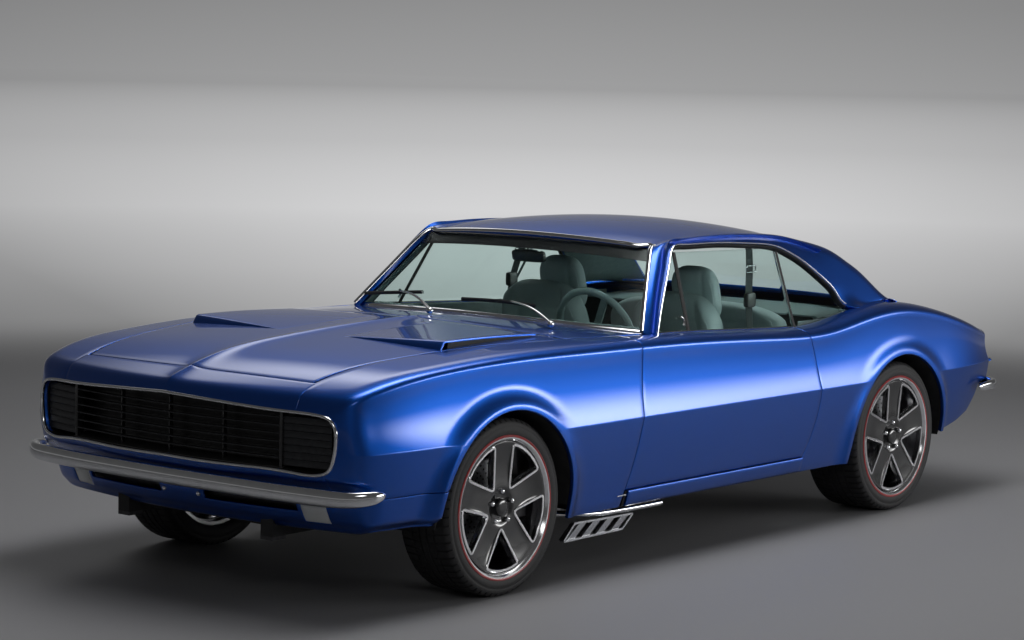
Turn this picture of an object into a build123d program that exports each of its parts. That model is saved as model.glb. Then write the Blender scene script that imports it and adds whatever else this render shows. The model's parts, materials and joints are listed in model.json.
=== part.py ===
from build123d import *
import os
from math import cos, sin, radians

# Driving dimensions of the coupe, millimetres
LENGTH = 4691.0
HALF_WIDTH = 921.0
HEIGHT = 1312.0
WHEELBASE = 2746.0
FRONT_OVERHANG = 932.0
FRONT_AXLE_X = LENGTH / 2 - FRONT_OVERHANG
REAR_AXLE_X = FRONT_AXLE_X - WHEELBASE

# Tyres and wheels
TYRE_R = 335.0
TYRE_WIDTH_FRONT = 245.0
TYRE_WIDTH_REAR = 275.0
TYRE_SHOULDER = 26.0
TYRE_OUTER_Y_FRONT = 868.0
TYRE_OUTER_Y_REAR = 888.0
RIM_SEAT_R = 254.0
RIM_LIP_R = 268.0
RIM_BARREL_T = 9.0
SPOKE_COUNT = 5
SPOKE_T = 24.0
SPOKE_SET = 22.0
HUB_R = 72.0
WINDOW_IN_R = 82.0
WINDOW_OUT_R = 226.0
WINDOW_HALF_DEG = 25.0
LUG_PCD = 120.65
LUG_R = 10.0
LUG_H = 14.0
CAP_R = 34.0
DISC_R = 172.0
DISC_T = 26.0
SPINDLE_R = 24.0
RUNNING = 0.08

# Body walls and gaps
GAP = 6.0
SKIN_T = 28.0
QUARTER_T = 55.0
DOOR_T = 108.0
GLASS_T = 6.0
GLASS_SET = 8.0
ROOF_T = 30.0
SEAT_GAP = 0.3

# Nose and tail
BUMPER_LEAD = 33.0
NOSE_X = LENGTH / 2 - BUMPER_LEAD
TAIL_X = -LENGTH / 2 + BUMPER_LEAD
NOSE_SWEEP = 185.0
TAIL_SWEEP = 55.0
SWEEP_SPAN = 1000.0

# Heights of the side
SILL_Z = 250.0
DOOR_LOW_Z = 317.0
CREASE_Z = 605.0

# Doors, hood and lids along the length
DOOR_FRONT_X = FRONT_AXLE_X - 806
DOOR_REAR_X = REAR_AXLE_X + 662
HOOD_FRONT_X = NOSE_X - 122
HOOD_REAR_X = FRONT_AXLE_X - 470
COWL_REAR_X = DOOR_FRONT_X - 175
LID_FRONT_X = REAR_AXLE_X - 350
LID_REAR_X = TAIL_X + 70
LID_HALF_Y = 640.0
CABIN_REAR_X = REAR_AXLE_X + 290
CABIN_HALF_Y = 776.0

# Wheel arches
ARCH_R = 385.0
ARCH_FRONT_X = FRONT_AXLE_X + 5
ARCH_REAR_X = REAR_AXLE_X - 16
ARCH_Z = 322.0
HOUSE_R = 408.0
HOUSE_T = 6.0
HOUSE_IN_Y = 425.0
REAR_HOUSE_IN_Y = 545.0

# Greenhouse
BELT_Z = 905.0
BELT_HALF_Y = 790.0
RAIL_HALF_Y = 642.0
RAIL_Z = 1224.0
CROWN_HALF_Y = 520.0
CROWN_Z = HEIGHT - 32
SHIELD_BASE_X = DOOR_FRONT_X - 7
SHIELD_TOP_X = DOOR_FRONT_X - 372
SHIELD_TOP_Z = 1272.0
REAR_HEAD_X = REAR_AXLE_X + 400
REAR_HEAD_Z = 1238.0
REAR_BASE_X = REAR_AXLE_X - 318
GLASS_BOW_R = 2300.0
REAR_BOW_R = 5200.0

# Grille and bumpers
GRILLE_HALF_Y = 752.0
GRILLE_LOW_Z = 543.0
GRILLE_TOP_Z = 737.0
GRILLE_DEPTH = 60.0
GRILLE_BARS = 6
LAMP_DOOR_IN_Y = 505.0
BUMPER_LOW_Z = 440.0
BUMPER_H = 72.0
BUMPER_T = 46.0
REAR_BUMPER_LOW_Z = 452.0
VALANCE_LOW_Z = 312.0
VALANCE_SET = 72.0
VALANCE_T = 20.0
PLATE_HOLE_SPACING = 178.0
PLATE_HOLE_R = 3.5
FRONT_PLATE_Z = 392.0
REAR_PLATE_Z = 560.0

# Steering
KINGPIN_Y = 728.0
KINGPIN_R = 11.0
STEER_WHEEL_R = 185.0
STEER_WHEEL_Y = 370.0
STEER_WHEEL_X = DOOR_FRONT_X - 385
STEER_WHEEL_Z = 872.0
STEER_TILT = 68.0

# Body sections from nose to tail: half widths y and heights z
REAR_RUN = REAR_AXLE_X - TAIL_X
HIP_SHARE = 0.378
TAIL_SHARE = 0.786
SECTION_COLUMNS = ("x", "y_low", "y_crease", "y_side", "z_side", "y_edge", "z_edge", "z_mid")
SECTIONS = (
    (NOSE_X + 40, 702, 768, 746, 735, 690, 758, 792),
    (FRONT_AXLE_X + 690, 800, 862, 838, 812, 772, 846, 872),
    (FRONT_AXLE_X + 340, 835, 898, 868, 862, 792, 896, 918),
    (FRONT_AXLE_X, 848, 908, 880, 876, 800, 914, 938),
    (FRONT_AXLE_X - 510, 850, 910, 884, 872, 806, 915, 948),
    (FRONT_AXLE_X - 1110, 850, 910, 886, 862, 812, 905, 922),
    (REAR_AXLE_X + 980, 850, 910, 888, 834, 814, 876, 890),
    (REAR_AXLE_X + 520, 850, 912, 890, 834, 814, 878, 892),
    (REAR_AXLE_X + 260, 850, 918, 892, 870, 808, 916, 926),
    (REAR_AXLE_X + 20, 850, HALF_WIDTH, 892, 886, 800, 934, 944),
    (REAR_AXLE_X - HIP_SHARE * REAR_RUN, 840, 905, 874, 846, 785, 890, 908),
    (REAR_AXLE_X - TAIL_SHARE * REAR_RUN, 800, 868, 838, 752, 752, 796, 816),
    (TAIL_X - 40, 738, 800, 774, 690, 698, 730, 746),
)
LOW_BULGE = 12.0
SIDE_HOLLOW = 4.0
EDGE_BULGE = 9.0


def path(place, start, *legs):
    """Closed face from a start point and legs: a point is a line, a pair of points is an arc."""
    edges = []
    here = start
    for leg in legs:
        if isinstance(leg[0], tuple):
            edges.append(ThreePointArc(place(here), place(leg[0]), place(leg[1])))
            here = leg[1]
        else:
            edges.append(Line(place(here), place(leg)))
            here = leg
    if here != start:
        edges.append(Line(place(here), place(start)))
    return Face(Wire(edges))


def side_prism(y0, y1, start, *legs):
    face = path(lambda p: (p[0], y0, p[1]), start, *legs)
    return Solid.extrude(face, Vector(0, y1 - y0, 0))


def plan_prism(z0, z1, start, *legs):
    face = path(lambda p: (p[0], p[1], z0), start, *legs)
    return Solid.extrude(face, Vector(0, 0, z1 - z0))


def front_prism(x0, x1, start, *legs):
    face = path(lambda p: (x0, p[0], p[1]), start, *legs)
    return Solid.extrude(face, Vector(x1 - x0, 0, 0))


def block(x0, x1, y0, y1, z0, z1):
    return Pos((x0 + x1) / 2, (y0 + y1) / 2, (z0 + z1) / 2) * Box(x1 - x0, y1 - y0, z1 - z0)


def rod_y(x, z, y0, y1, r):
    return Pos(x, (y0 + y1) / 2, z) * Rot(90, 0, 0) * Cylinder(r, abs(y1 - y0))


def rod_x(y, z, x0, x1, r):
    return Pos((x0 + x1) / 2, y, z) * Rot(0, 90, 0) * Cylinder(r, abs(x1 - x0))


def rod_z(x, y, z0, z1, r):
    return Pos(x, y, (z0 + z1) / 2) * Cylinder(r, abs(z1 - z0))


def other_side(shape):
    return mirror(shape, about=Plane.XZ)


def both(shape):
    return shape + other_side(shape)


def largest(shape):
    return max(shape.solids(), key=lambda solid: solid.volume)


def mid(a, b, out):
    """Point beside the middle of a line from a to b, moved by out to its right."""
    dy, dz = b[0] - a[0], b[1] - a[1]
    n = (dy * dy + dz * dz) ** 0.5
    return ((a[0] + b[0]) / 2 + out * dz / n, (a[1] + b[1]) / 2 - out * dy / n)


def section(row, inset):
    s = dict(zip(SECTION_COLUMNS, row))
    drop = 30.0 if inset > 0 else 0.0
    low = (s["y_low"] - inset, SILL_Z - drop)
    crease = (s["y_crease"] - inset, CREASE_Z)
    side = (s["y_side"] - inset, s["z_side"] - inset * 0.4)
    edge = (s["y_edge"] - inset, s["z_edge"] - inset)
    top = (0.0, s["z_mid"] - inset)
    flip = lambda p: (-p[0], p[1])
    low_mid = mid(low, crease, LOW_BULGE)
    side_mid = mid(crease, side, -SIDE_HOLLOW)
    edge_mid = mid(side, edge, EDGE_BULGE)
    return path(lambda p: (s["x"], p[0], p[1]), flip(low), low, (low_mid, crease), (side_mid, side),
                (edge_mid, edge), (top, flip(edge)), (flip(edge_mid), flip(side)),
                (flip(side_mid), flip(crease)), (flip(low_mid), flip(low)))


def plan_trim(inset):
    nose = NOSE_X - inset
    tail = TAIL_X + inset
    return plan_prism(0, 1500, (nose - NOSE_SWEEP, -SWEEP_SPAN),
                      ((nose, 0), (nose - NOSE_SWEEP, SWEEP_SPAN)), (tail + TAIL_SWEEP, SWEEP_SPAN),
                      ((tail, 0), (tail + TAIL_SWEEP, -SWEEP_SPAN)))


def body(inset):
    form = Solid.make_loft([section(row, inset).outer_wire() for row in SECTIONS])
    return form & plan_trim(inset)


def greenhouse(inset):
    slope_x = SHIELD_BASE_X - SHIELD_TOP_X
    slope_z = SHIELD_TOP_Z - BELT_Z
    run = (slope_x * slope_x + slope_z * slope_z) ** 0.5
    back_x = REAR_HEAD_X - REAR_BASE_X
    back_z = REAR_HEAD_Z - BELT_Z
    back_run = (back_x * back_x + back_z * back_z) ** 0.5
    front_in = inset * run / slope_z
    rear_in = inset * back_run / back_z
    low = BELT_Z - 120
    front_low = SHIELD_BASE_X - front_in + 120 * slope_x / slope_z
    rear_low = REAR_BASE_X + rear_in - 120 * back_x / back_z
    top = HEIGHT - inset
    side_view = side_prism(-900, 900, (front_low, low), (SHIELD_TOP_X - front_in, SHIELD_TOP_Z),
                           ((SHIELD_TOP_X - 330, top), (REAR_HEAD_X + rear_in, REAR_HEAD_Z)),
                           (rear_low, low))
    lean = (BELT_HALF_Y - RAIL_HALF_Y) / (RAIL_Z - BELT_Z)
    foot = (BELT_HALF_Y + lean * 120 - inset, low)
    rail = (RAIL_HALF_Y - inset, RAIL_Z)
    crown = (CROWN_HALF_Y - inset, CROWN_Z - inset * 0.8)
    flip = lambda p: (-p[0], p[1])
    turn = mid(rail, crown, 12)
    front_view = front_prism(-2600, 1600, flip(foot), foot, rail, (turn, crown),
                             ((0, top + 2), flip(crown)), (flip(turn), flip(rail)))
    form = side_view & front_view
    panes = ((SHIELD_BASE_X, -slope_x, slope_z, 1, GLASS_BOW_R),
             (REAR_BASE_X, back_x, back_z, -1, REAR_BOW_R))
    for x0, dx, dz, push, bow_r in panes:
        n = (dx * dx + dz * dz) ** 0.5
        normal = Vector(push * dz / n, 0, -push * dx / n)
        centre = Vector(x0, 0, BELT_Z) - normal * (bow_r + inset)
        form = form & (Plane(origin=centre, z_dir=Vector(dx, 0, dz)) * Cylinder(bow_r, 4000))
    return form


outer = body(0)
inner_skin = body(SKIN_T)
inner_quarter = body(QUARTER_T)
inner_door = body(DOOR_T)
skin = outer - inner_skin

# Panel borders
DOOR_FRONT_TOP = DOOR_FRONT_X - 8
DOOR_FRONT_LOW = DOOR_FRONT_X + 54
DOOR_REAR_TOP = DOOR_REAR_X + 97
DOOR_REAR_LOW = DOOR_REAR_X + 71
PANEL_TOP_Z = 990.0
HOOD_HALF_FRONT = 578.0
HOOD_HALF_REAR = 734.0
HOOD_HALF_CORNER = 732.0
HOOD_CORNER_L = 60.0
HOOD_BOW = 30.0


def door_outline(grow, y0, y1):
    low = DOOR_LOW_Z - grow
    return side_prism(y0, y1, (DOOR_FRONT_TOP + grow, PANEL_TOP_Z),
                      ((DOOR_FRONT_X + grow, CREASE_Z), (DOOR_FRONT_LOW + grow, low)),
                      (DOOR_REAR_LOW - grow, low),
                      ((DOOR_REAR_X - grow, CREASE_Z - 15), (DOOR_REAR_TOP - grow, PANEL_TOP_Z - 105)),
                      (DOOR_REAR_TOP - grow, PANEL_TOP_Z))


def hood_outline(grow):
    front = HOOD_FRONT_X + grow
    rear = HOOD_REAR_X - grow
    corner_x = HOOD_REAR_X + HOOD_CORNER_L
    half_front = HOOD_HALF_FRONT + grow
    half_corner = HOOD_HALF_CORNER + grow
    half_rear = HOOD_HALF_REAR + grow
    return plan_prism(640, 1100, (front - HOOD_BOW, -half_front),
                      ((front, 0), (front - HOOD_BOW, half_front)), (corner_x, half_corner),
                      (rear - HOOD_BOW, half_rear), ((rear, 0), (rear - HOOD_BOW, -half_rear)),
                      (corner_x, -half_corner))


def nose_outline(grow):
    rear = HOOD_FRONT_X
    ahead = NOSE_X + 80
    return plan_prism(VALANCE_LOW_Z, 1100, (rear - HOOD_BOW, -HOOD_HALF_FRONT - grow),
                      ((rear, 0), (rear - HOOD_BOW, HOOD_HALF_FRONT + grow)),
                      (ahead, HOOD_HALF_FRONT + 40 + grow), (ahead, -HOOD_HALF_FRONT - 40 - grow))


def cowl_outline(grow):
    front = HOOD_REAR_X
    return plan_prism(780, 1100, (COWL_REAR_X - grow, -CABIN_HALF_Y - grow),
                      (front - HOOD_BOW, -HOOD_HALF_REAR - grow),
                      ((front, 0), (front - HOOD_BOW, HOOD_HALF_REAR + grow)),
                      (COWL_REAR_X - grow, CABIN_HALF_Y + grow))


def lid_outline(grow):
    return plan_prism(600, 1100, (LID_FRONT_X + grow, -LID_HALF_Y - grow),
                      (LID_FRONT_X + grow, LID_HALF_Y + grow),
                      (LID_REAR_X - grow, LID_HALF_Y - 20 + grow),
                      (LID_REAR_X - grow, -LID_HALF_Y + 20 - grow))


arches = [rod_y(x, ARCH_Z, -1000, 1000, ARCH_R) for x in (ARCH_FRONT_X, ARCH_REAR_X)]
grille_mouth = front_prism(NOSE_X - 260, NOSE_X + 60, (-GRILLE_HALF_Y + 22, GRILLE_LOW_Z),
                           (GRILLE_HALF_Y - 22, GRILLE_LOW_Z), (GRILLE_HALF_Y, GRILLE_LOW_Z + 110),
                           (GRILLE_HALF_Y - 14, GRILLE_TOP_Z), (0, GRILLE_TOP_Z + 22),
                           (-GRILLE_HALF_Y + 14, GRILLE_TOP_Z), (-GRILLE_HALF_Y, GRILLE_LOW_Z + 110))

# Hood with two raised vents
SCOOP_FRONT_X = FRONT_AXLE_X + 122
SCOOP_REAR_X = HOOD_REAR_X + 46
SCOOP_IN_Y = 165.0
SCOOP_OUT_Y = 618.0
SCOOP_RISE = 32.0
SCOOP_SLOT_H = 18.0
SCOOP_SLOT_DEPTH = 60.0


def scoop():
    z_base = 880.0
    front = (SCOOP_FRONT_X + 16, SCOOP_IN_Y)
    form = plan_prism(z_base, 1010, front, (SCOOP_FRONT_X - 26, SCOOP_OUT_Y),
                      (SCOOP_REAR_X, SCOOP_OUT_Y + 12), (SCOOP_REAR_X, SCOOP_IN_Y))
    tops = []
    for x, z_in, z_out in ((SCOOP_FRONT_X + 40, 924, 918), (SCOOP_REAR_X - 20, 947, 938)):
        tops.append(path(lambda p, x=x: (x, p[0], p[1]), (SCOOP_IN_Y - 60, z_base - 10),
                         (SCOOP_OUT_Y + 60, z_base - 10), (SCOOP_OUT_Y + 60, z_out + SCOOP_RISE),
                         (SCOOP_IN_Y - 60, z_in - 4)).outer_wire())
    form = form & Solid.make_loft(tops, ruled=True)
    slot = block(SCOOP_REAR_X + 30, SCOOP_FRONT_X - 50, SCOOP_OUT_Y - SCOOP_SLOT_DEPTH, SCOOP_OUT_Y + 80,
                 922, 922 + SCOOP_SLOT_H)
    return (form - inner_skin) - slot


hood = (skin & hood_outline(0)) + both(scoop())
nose_panel = (skin & nose_outline(0)) - hood_outline(GAP) - grille_mouth
nose_panel = nose_panel - block(NOSE_X - 500, NOSE_X + 100, -1000, 1000, 0, GRILLE_LOW_Z - 30)
cowl_panel = (skin & cowl_outline(0)) - hood_outline(GAP)

fender_view = side_prism(1, 1000, (DOOR_FRONT_X - 60, PANEL_TOP_Z), (NOSE_X + 60, PANEL_TOP_Z),
                         (NOSE_X + 60, GRILLE_LOW_Z - 30), (NOSE_X - 130, VALANCE_LOW_Z),
                         (ARCH_FRONT_X, VALANCE_LOW_Z), (ARCH_FRONT_X, SILL_Z),
                         (DOOR_FRONT_LOW + GAP, SILL_Z), (DOOR_FRONT_LOW + GAP, DOOR_LOW_Z - GAP),
                         (DOOR_FRONT_X - 60, DOOR_LOW_Z + 20))
fender_left = (skin & fender_view) - door_outline(GAP, 1,
        1000) - hood_outline(GAP) - nose_outline(0) - cowl_outline(0)
fender_left = fender_left - arches[0] - grille_mouth

door_left = (outer - inner_door) & door_outline(0, CABIN_HALF_Y, 1000)
door_left = door_left - block(COWL_REAR_X - 70, DOOR_FRONT_X + 80, 700, 800, 560, 1000)

quarter_view = side_prism(1, 1000, (DOOR_REAR_X + 200, PANEL_TOP_Z), (DOOR_REAR_X + 200, DOOR_LOW_Z + 20),
                          (DOOR_REAR_LOW, DOOR_LOW_Z - GAP), (DOOR_REAR_LOW, SILL_Z),
                          (ARCH_REAR_X, SILL_Z), (ARCH_REAR_X - 330, 300), (TAIL_X + 175, 520),
                          (TAIL_X - 60, 520), (TAIL_X - 60, PANEL_TOP_Z))
quarter_left = ((outer - inner_quarter) & quarter_view) - door_outline(GAP, 1,
        1000) - lid_outline(GAP) - arches[1]
quarter_left = quarter_left - block(CABIN_REAR_X, DOOR_FRONT_X, -1, CABIN_HALF_Y, 0, 1200)
quarter_left = quarter_left - block(TAIL_X - 200, CABIN_REAR_X + 1, -1, LID_HALF_Y + GAP, 0, 1200)

lid_zone = lid_outline(0)
deck_lid = skin & lid_zone
tail_panel = (skin
              & block(TAIL_X - 100, LID_REAR_X - GAP, -LID_HALF_Y - GAP, LID_HALF_Y + GAP, 420, 1000))
rear_deck = (skin
             & block(LID_FRONT_X + GAP, CABIN_REAR_X - 90, -LID_HALF_Y - GAP, LID_HALF_Y + GAP, 700,
                     1100))


# Hinge pins stand in the panel gaps, on the hinge lines
PIN_R = 2.5
DOOR_PIN_LOW = CREASE_Z + 2
DOOR_PIN_TOP = CREASE_Z + 42
DOOR_PIN_X = DOOR_FRONT_X + GAP / 2 - 0.2
DOOR_PIN_Y = 906.0
HOOD_PIN_Y = 60.0
HOOD_PIN_X = HOOD_REAR_X - GAP / 2
HOOD_PIN_Z = 946.0
LID_PIN_X = LID_FRONT_X + GAP / 2
LID_PIN_Z = 909.5
door_pin = rod_z(DOOR_PIN_X, DOOR_PIN_Y, DOOR_PIN_LOW, DOOR_PIN_TOP, PIN_R)
door_pin = door_pin + block(DOOR_PIN_X, DOOR_PIN_X + GAP, DOOR_PIN_Y - 12, DOOR_PIN_Y, DOOR_PIN_LOW,
                            DOOR_PIN_TOP)
fender_left = fender_left + door_pin
hood_pin = rod_y(HOOD_PIN_X, HOOD_PIN_Z, -HOOD_PIN_Y, HOOD_PIN_Y, PIN_R)
hood_pin = hood_pin + block(HOOD_PIN_X - GAP, HOOD_PIN_X, -HOOD_PIN_Y, HOOD_PIN_Y, HOOD_PIN_Z - 9,
                            HOOD_PIN_Z)
cowl_panel = cowl_panel + hood_pin
lid_pin = rod_y(LID_PIN_X, LID_PIN_Z, -HOOD_PIN_Y, HOOD_PIN_Y, PIN_R)
lid_pin = lid_pin + block(LID_PIN_X, LID_PIN_X + GAP, -HOOD_PIN_Y, HOOD_PIN_Y, LID_PIN_Z - 9, LID_PIN_Z)
rear_deck = rear_deck + lid_pin

# Roof with pillars, and its panes
SIDE_LOW_Z = 780.0
VENT_LOW_X = DOOR_FRONT_X - 212
VENT_TOP_X = DOOR_FRONT_X - 532
SAIL_X = REAR_AXLE_X + 215
B_GAP_X = DOOR_REAR_TOP


def side_window(inset):
    top = RAIL_Z - 6 - inset
    return [(VENT_LOW_X + 106 - inset * 1.4, SIDE_LOW_Z), (VENT_TOP_X - inset * 1.4, top),
            ((VENT_TOP_X - 330, top + 5), (VENT_TOP_X - 660, top - 14)), (SAIL_X + 230 + inset, top - 72),
            (SAIL_X + inset * 1.6, 985),
            ((SAIL_X - 8 + inset * 1.6, 950), (SAIL_X + 20 + inset * 1.6, 925)),
            (SAIL_X + 20 + inset * 1.6, SIDE_LOW_Z)]


def shield_mouth(inset):
    return front_prism(SHIELD_TOP_X - 120, SHIELD_BASE_X + 200, (-738 + inset, 930 + inset),
                       (738 - inset, 930 + inset), (592 - inset, SHIELD_TOP_Z - 30 - inset),
                       ((0, SHIELD_TOP_Z - 14 - inset), (-592 + inset, SHIELD_TOP_Z - 30 - inset)))


def rear_mouth(inset):
    return front_prism(REAR_BASE_X - 200, REAR_HEAD_X + 40, (-610 + inset, 930 + inset),
                       (610 - inset, 930 + inset), (548 - inset, REAR_HEAD_Z - 42 - inset),
                       ((0, REAR_HEAD_Z - 28 - inset), (-548 + inset, REAR_HEAD_Z - 42 - inset)))


house = greenhouse(0)
roof_shell = house - greenhouse(ROOF_T) - outer - side_prism(-1000, 1000, *side_window(0))
roof_shell = largest(roof_shell - shield_mouth(0) - rear_mouth(0))
pane = greenhouse(GLASS_SET) - greenhouse(GLASS_SET + GLASS_T)
windshield = largest((pane & shield_mouth(SEAT_GAP)) - outer)
rear_window = largest((pane & rear_mouth(SEAT_GAP)) - outer)
quarter_pane = pane & side_prism(300, 1000, *side_window(SEAT_GAP)) & block(SAIL_X - 60, B_GAP_X - GAP,
        300, 1000, 840, 1300)
quarter_pane = largest(quarter_pane - quarter_left - door_outline(GAP, 1, 1000))
door_glass_left = (pane & side_prism(300, 1000, *side_window(GAP))
                   & block(B_GAP_X, DOOR_FRONT_X, 300, 1000, 860, 1300)) - door_left
door_glass_left = door_glass_left - cowl_outline(GAP)
fixed_glass = windshield + rear_window + both(quarter_pane)

# Floor, firewall and bulkheads
FLOOR_Z = 255.0
FLOOR_T = 28.0
FLOOR_HALF_Y = 700.0
FIREWALL_X = FRONT_AXLE_X - 533
FIREWALL_T = 24.0
KICK_X = DOOR_REAR_X - 30
REAR_FLOOR_Z = 462.0
REAR_FLOOR_T = 20.0
BULKHEAD_X = REAR_AXLE_X + 232
TUNNEL_HALF_Y = 140.0
TUNNEL_Z = 415.0
TUNNEL_T = 15.0

ROCKER_IN_Y = 690.0
JACK_Z = SILL_Z + 1
rocker = outer & block(DOOR_REAR_LOW, DOOR_FRONT_LOW + GAP, ROCKER_IN_Y, 1000, JACK_Z, DOOR_LOW_Z - GAP)
floor_pan = block(KICK_X - 20, FIREWALL_X + FIREWALL_T, -FLOOR_HALF_Y, FLOOR_HALF_Y, FLOOR_Z,
                  FLOOR_Z + FLOOR_T) + both(rocker)
floor_pan = floor_pan + block(KICK_X - 20, FIREWALL_X, -TUNNEL_HALF_Y - TUNNEL_T,
                              TUNNEL_HALF_Y + TUNNEL_T, FLOOR_Z, TUNNEL_Z + TUNNEL_T)
floor_pan = floor_pan + (inner_skin
                         & block(FIREWALL_X, FIREWALL_X + FIREWALL_T, -1000, 1000, FLOOR_Z, 1000))
pillar_wall = inner_skin & block(DOOR_FRONT_X + 78, FIREWALL_X, ROCKER_IN_Y, 1000, FLOOR_Z, 900)
floor_pan = floor_pan + both(pillar_wall
                             - block(DOOR_FRONT_X + 100, FIREWALL_X, 0, 760, FLOOR_Z + FLOOR_T, 1000))
rear_form = inner_quarter & block(TAIL_X, KICK_X, -1000, 1000, 0, 1000)
rear_form = rear_form & inner_skin
floor_pan = floor_pan + block(KICK_X - 20, KICK_X, -CABIN_HALF_Y, CABIN_HALF_Y, FLOOR_Z,
                              REAR_FLOOR_Z + REAR_FLOOR_T)
floor_pan = floor_pan + (rear_form
                         & block(TAIL_X, KICK_X, -1000, 1000, REAR_FLOOR_Z, REAR_FLOOR_Z + REAR_FLOOR_T))
floor_pan = floor_pan + (rear_form & block(BULKHEAD_X - 20, BULKHEAD_X, -1000, 1000, REAR_FLOOR_Z, 860))
floor_pan = floor_pan - block(KICK_X - 100, FIREWALL_X + 100, -TUNNEL_HALF_Y, TUNNEL_HALF_Y, 0, TUNNEL_Z)
rear_bay = rod_y(REAR_AXLE_X, TYRE_R, REAR_HOUSE_IN_Y, 1000, HOUSE_R + HOUSE_T)
floor_pan = floor_pan - both(rear_bay)

# Wheelhouses
wheelhouses = {}
for end, x, y_in, liner in (("front", FRONT_AXLE_X, HOUSE_IN_Y, inner_skin),
                            ("rear", REAR_AXLE_X, REAR_HOUSE_IN_Y + HOUSE_T, inner_quarter)):
    drum = rod_y(x, TYRE_R, y_in - HOUSE_T, 1000, HOUSE_R + HOUSE_T) - rod_y(x, TYRE_R, y_in, 1001,
            HOUSE_R)
    drum = drum & liner & block(x - 500, x + 500, 0, 1000, SILL_Z + 70, 1000)
    drum = drum - block(x - 185, x + 185, 0, y_in + 5, 0, 560)
    wheelhouses[f"wheelhouses_{end}"] = both(drum)

# Front frame, engine, driveline and tank
RAIL_IN_Y = 345.0
RAIL_OUT_Y = 405.0
RAIL_LOW_Z = 262.0
RAIL_TOP_Z = 330.0
FRAME_FRONT_X = NOSE_X - 135
MEMBER_HALF_X = 70.0
ARM_LOW_Z = 205.0
ARM_TOP_Z = 470.0
ARM_T = 17.0
ARM_END_R = 17.0
TOW_HOLE_R = 11.0
TOW_RELIEF = 5.0
TOW_EYE_L = 70.0
TOW_EYE_T = 14.0
ENGINE_FRONT_X = FRONT_AXLE_X + 150
ENGINE_REAR_X = FRONT_AXLE_X - 400
ENGINE_HALF_Y = 255.0
ENGINE_LOW_Z = 300.0
ENGINE_TOP_Z = 760.0
RADIATOR_X = FRONT_AXLE_X + 560
GEARBOX_REAR_X = FRONT_AXLE_X - 920

rail = block(FIREWALL_X + FIREWALL_T, FRAME_FRONT_X, RAIL_IN_Y, RAIL_OUT_Y, RAIL_LOW_Z, RAIL_TOP_Z)
member = block(FRONT_AXLE_X - MEMBER_HALF_X, FRONT_AXLE_X + MEMBER_HALF_X, -RAIL_OUT_Y, RAIL_OUT_Y, 232,
               ENGINE_LOW_Z)


def control_arm(z, stud_z0, stud_z1):
    arm = plan_prism(z, z + ARM_T, (FRONT_AXLE_X - 95, RAIL_OUT_Y - 20),
                     (FRONT_AXLE_X + 95, RAIL_OUT_Y - 20), (FRONT_AXLE_X + ARM_END_R, KINGPIN_Y),
                     ((FRONT_AXLE_X, KINGPIN_Y + ARM_END_R), (FRONT_AXLE_X - ARM_END_R, KINGPIN_Y)))
    return arm + rod_z(FRONT_AXLE_X, KINGPIN_Y, stud_z0, stud_z1, KINGPIN_R)


lower_arm = control_arm(ARM_LOW_Z, ARM_LOW_Z, ARM_LOW_Z + 48)
upper_arm = control_arm(ARM_TOP_Z, ARM_TOP_Z - 31, ARM_TOP_Z + ARM_T)
tower = block(FRONT_AXLE_X - 95, FRONT_AXLE_X + 95, RAIL_OUT_Y - 40, RAIL_OUT_Y, ARM_LOW_Z,
              ARM_TOP_Z + ARM_T)
front_frame = member + both(rail + lower_arm + upper_arm + tower)
front_frame = front_frame + block(RADIATOR_X, RADIATOR_X + 40, -RAIL_OUT_Y, RAIL_OUT_Y, RAIL_LOW_Z, 740)
tow_y = (RAIL_IN_Y + RAIL_OUT_Y) / 2
tow_x = FRAME_FRONT_X - TOW_EYE_L / 2
tow_plate = block(FRAME_FRONT_X - TOW_EYE_L, FRAME_FRONT_X, RAIL_IN_Y, RAIL_OUT_Y, RAIL_LOW_Z - TOW_EYE_T,
                  RAIL_LOW_Z)
tow_eyes = both(tow_plate - rod_z(tow_x, tow_y, 0, 400, TOW_HOLE_R))
front_frame = front_frame - both(rod_z(tow_x, tow_y, 0, 400, TOW_HOLE_R + TOW_RELIEF))

engine_block = block(ENGINE_REAR_X, ENGINE_FRONT_X, -ENGINE_HALF_Y, ENGINE_HALF_Y, ENGINE_LOW_Z,
                     ENGINE_TOP_Z)
driveline = block(GEARBOX_REAR_X, ENGINE_REAR_X, -110, 110, 268, 400)
SHAFT_R = 38.0
DIFF_R = 112.0
driveline = driveline + rod_x(0, TYRE_R, REAR_AXLE_X + DIFF_R + 14, GEARBOX_REAR_X + 5, SHAFT_R)

TANK_TOP_Z = REAR_FLOOR_Z
fuel_tank = block(TAIL_X + 210, REAR_AXLE_X - 330, -420, 420, 335, TANK_TOP_Z)

# Rear axle with leaf springs
SPRING_Y = 500.0
SPRING_T = 24.0
SPRING_FRONT_X = REAR_AXLE_X + 560
SPRING_REAR_X = REAR_AXLE_X - 560
AXLE_R = 42.0
spring_z = TYRE_R - AXLE_R - SPRING_T
rear_axle = rod_y(REAR_AXLE_X, TYRE_R, -TYRE_OUTER_Y_REAR + 160, TYRE_OUTER_Y_REAR - 160, AXLE_R)
rear_axle = rear_axle + Pos(REAR_AXLE_X, 0, TYRE_R) * Sphere(DIFF_R) + rod_x(0, TYRE_R, REAR_AXLE_X,
        REAR_AXLE_X + DIFF_R + 14, 50)
spring = block(SPRING_REAR_X, SPRING_FRONT_X, SPRING_Y - 25, SPRING_Y + 25, spring_z - 1,
               spring_z + SPRING_T)
for x in (SPRING_FRONT_X - 40, SPRING_REAR_X):
    spring = spring + block(x, x + 40, SPRING_Y - 20, SPRING_Y + 20, spring_z, REAR_FLOOR_Z)
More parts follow.
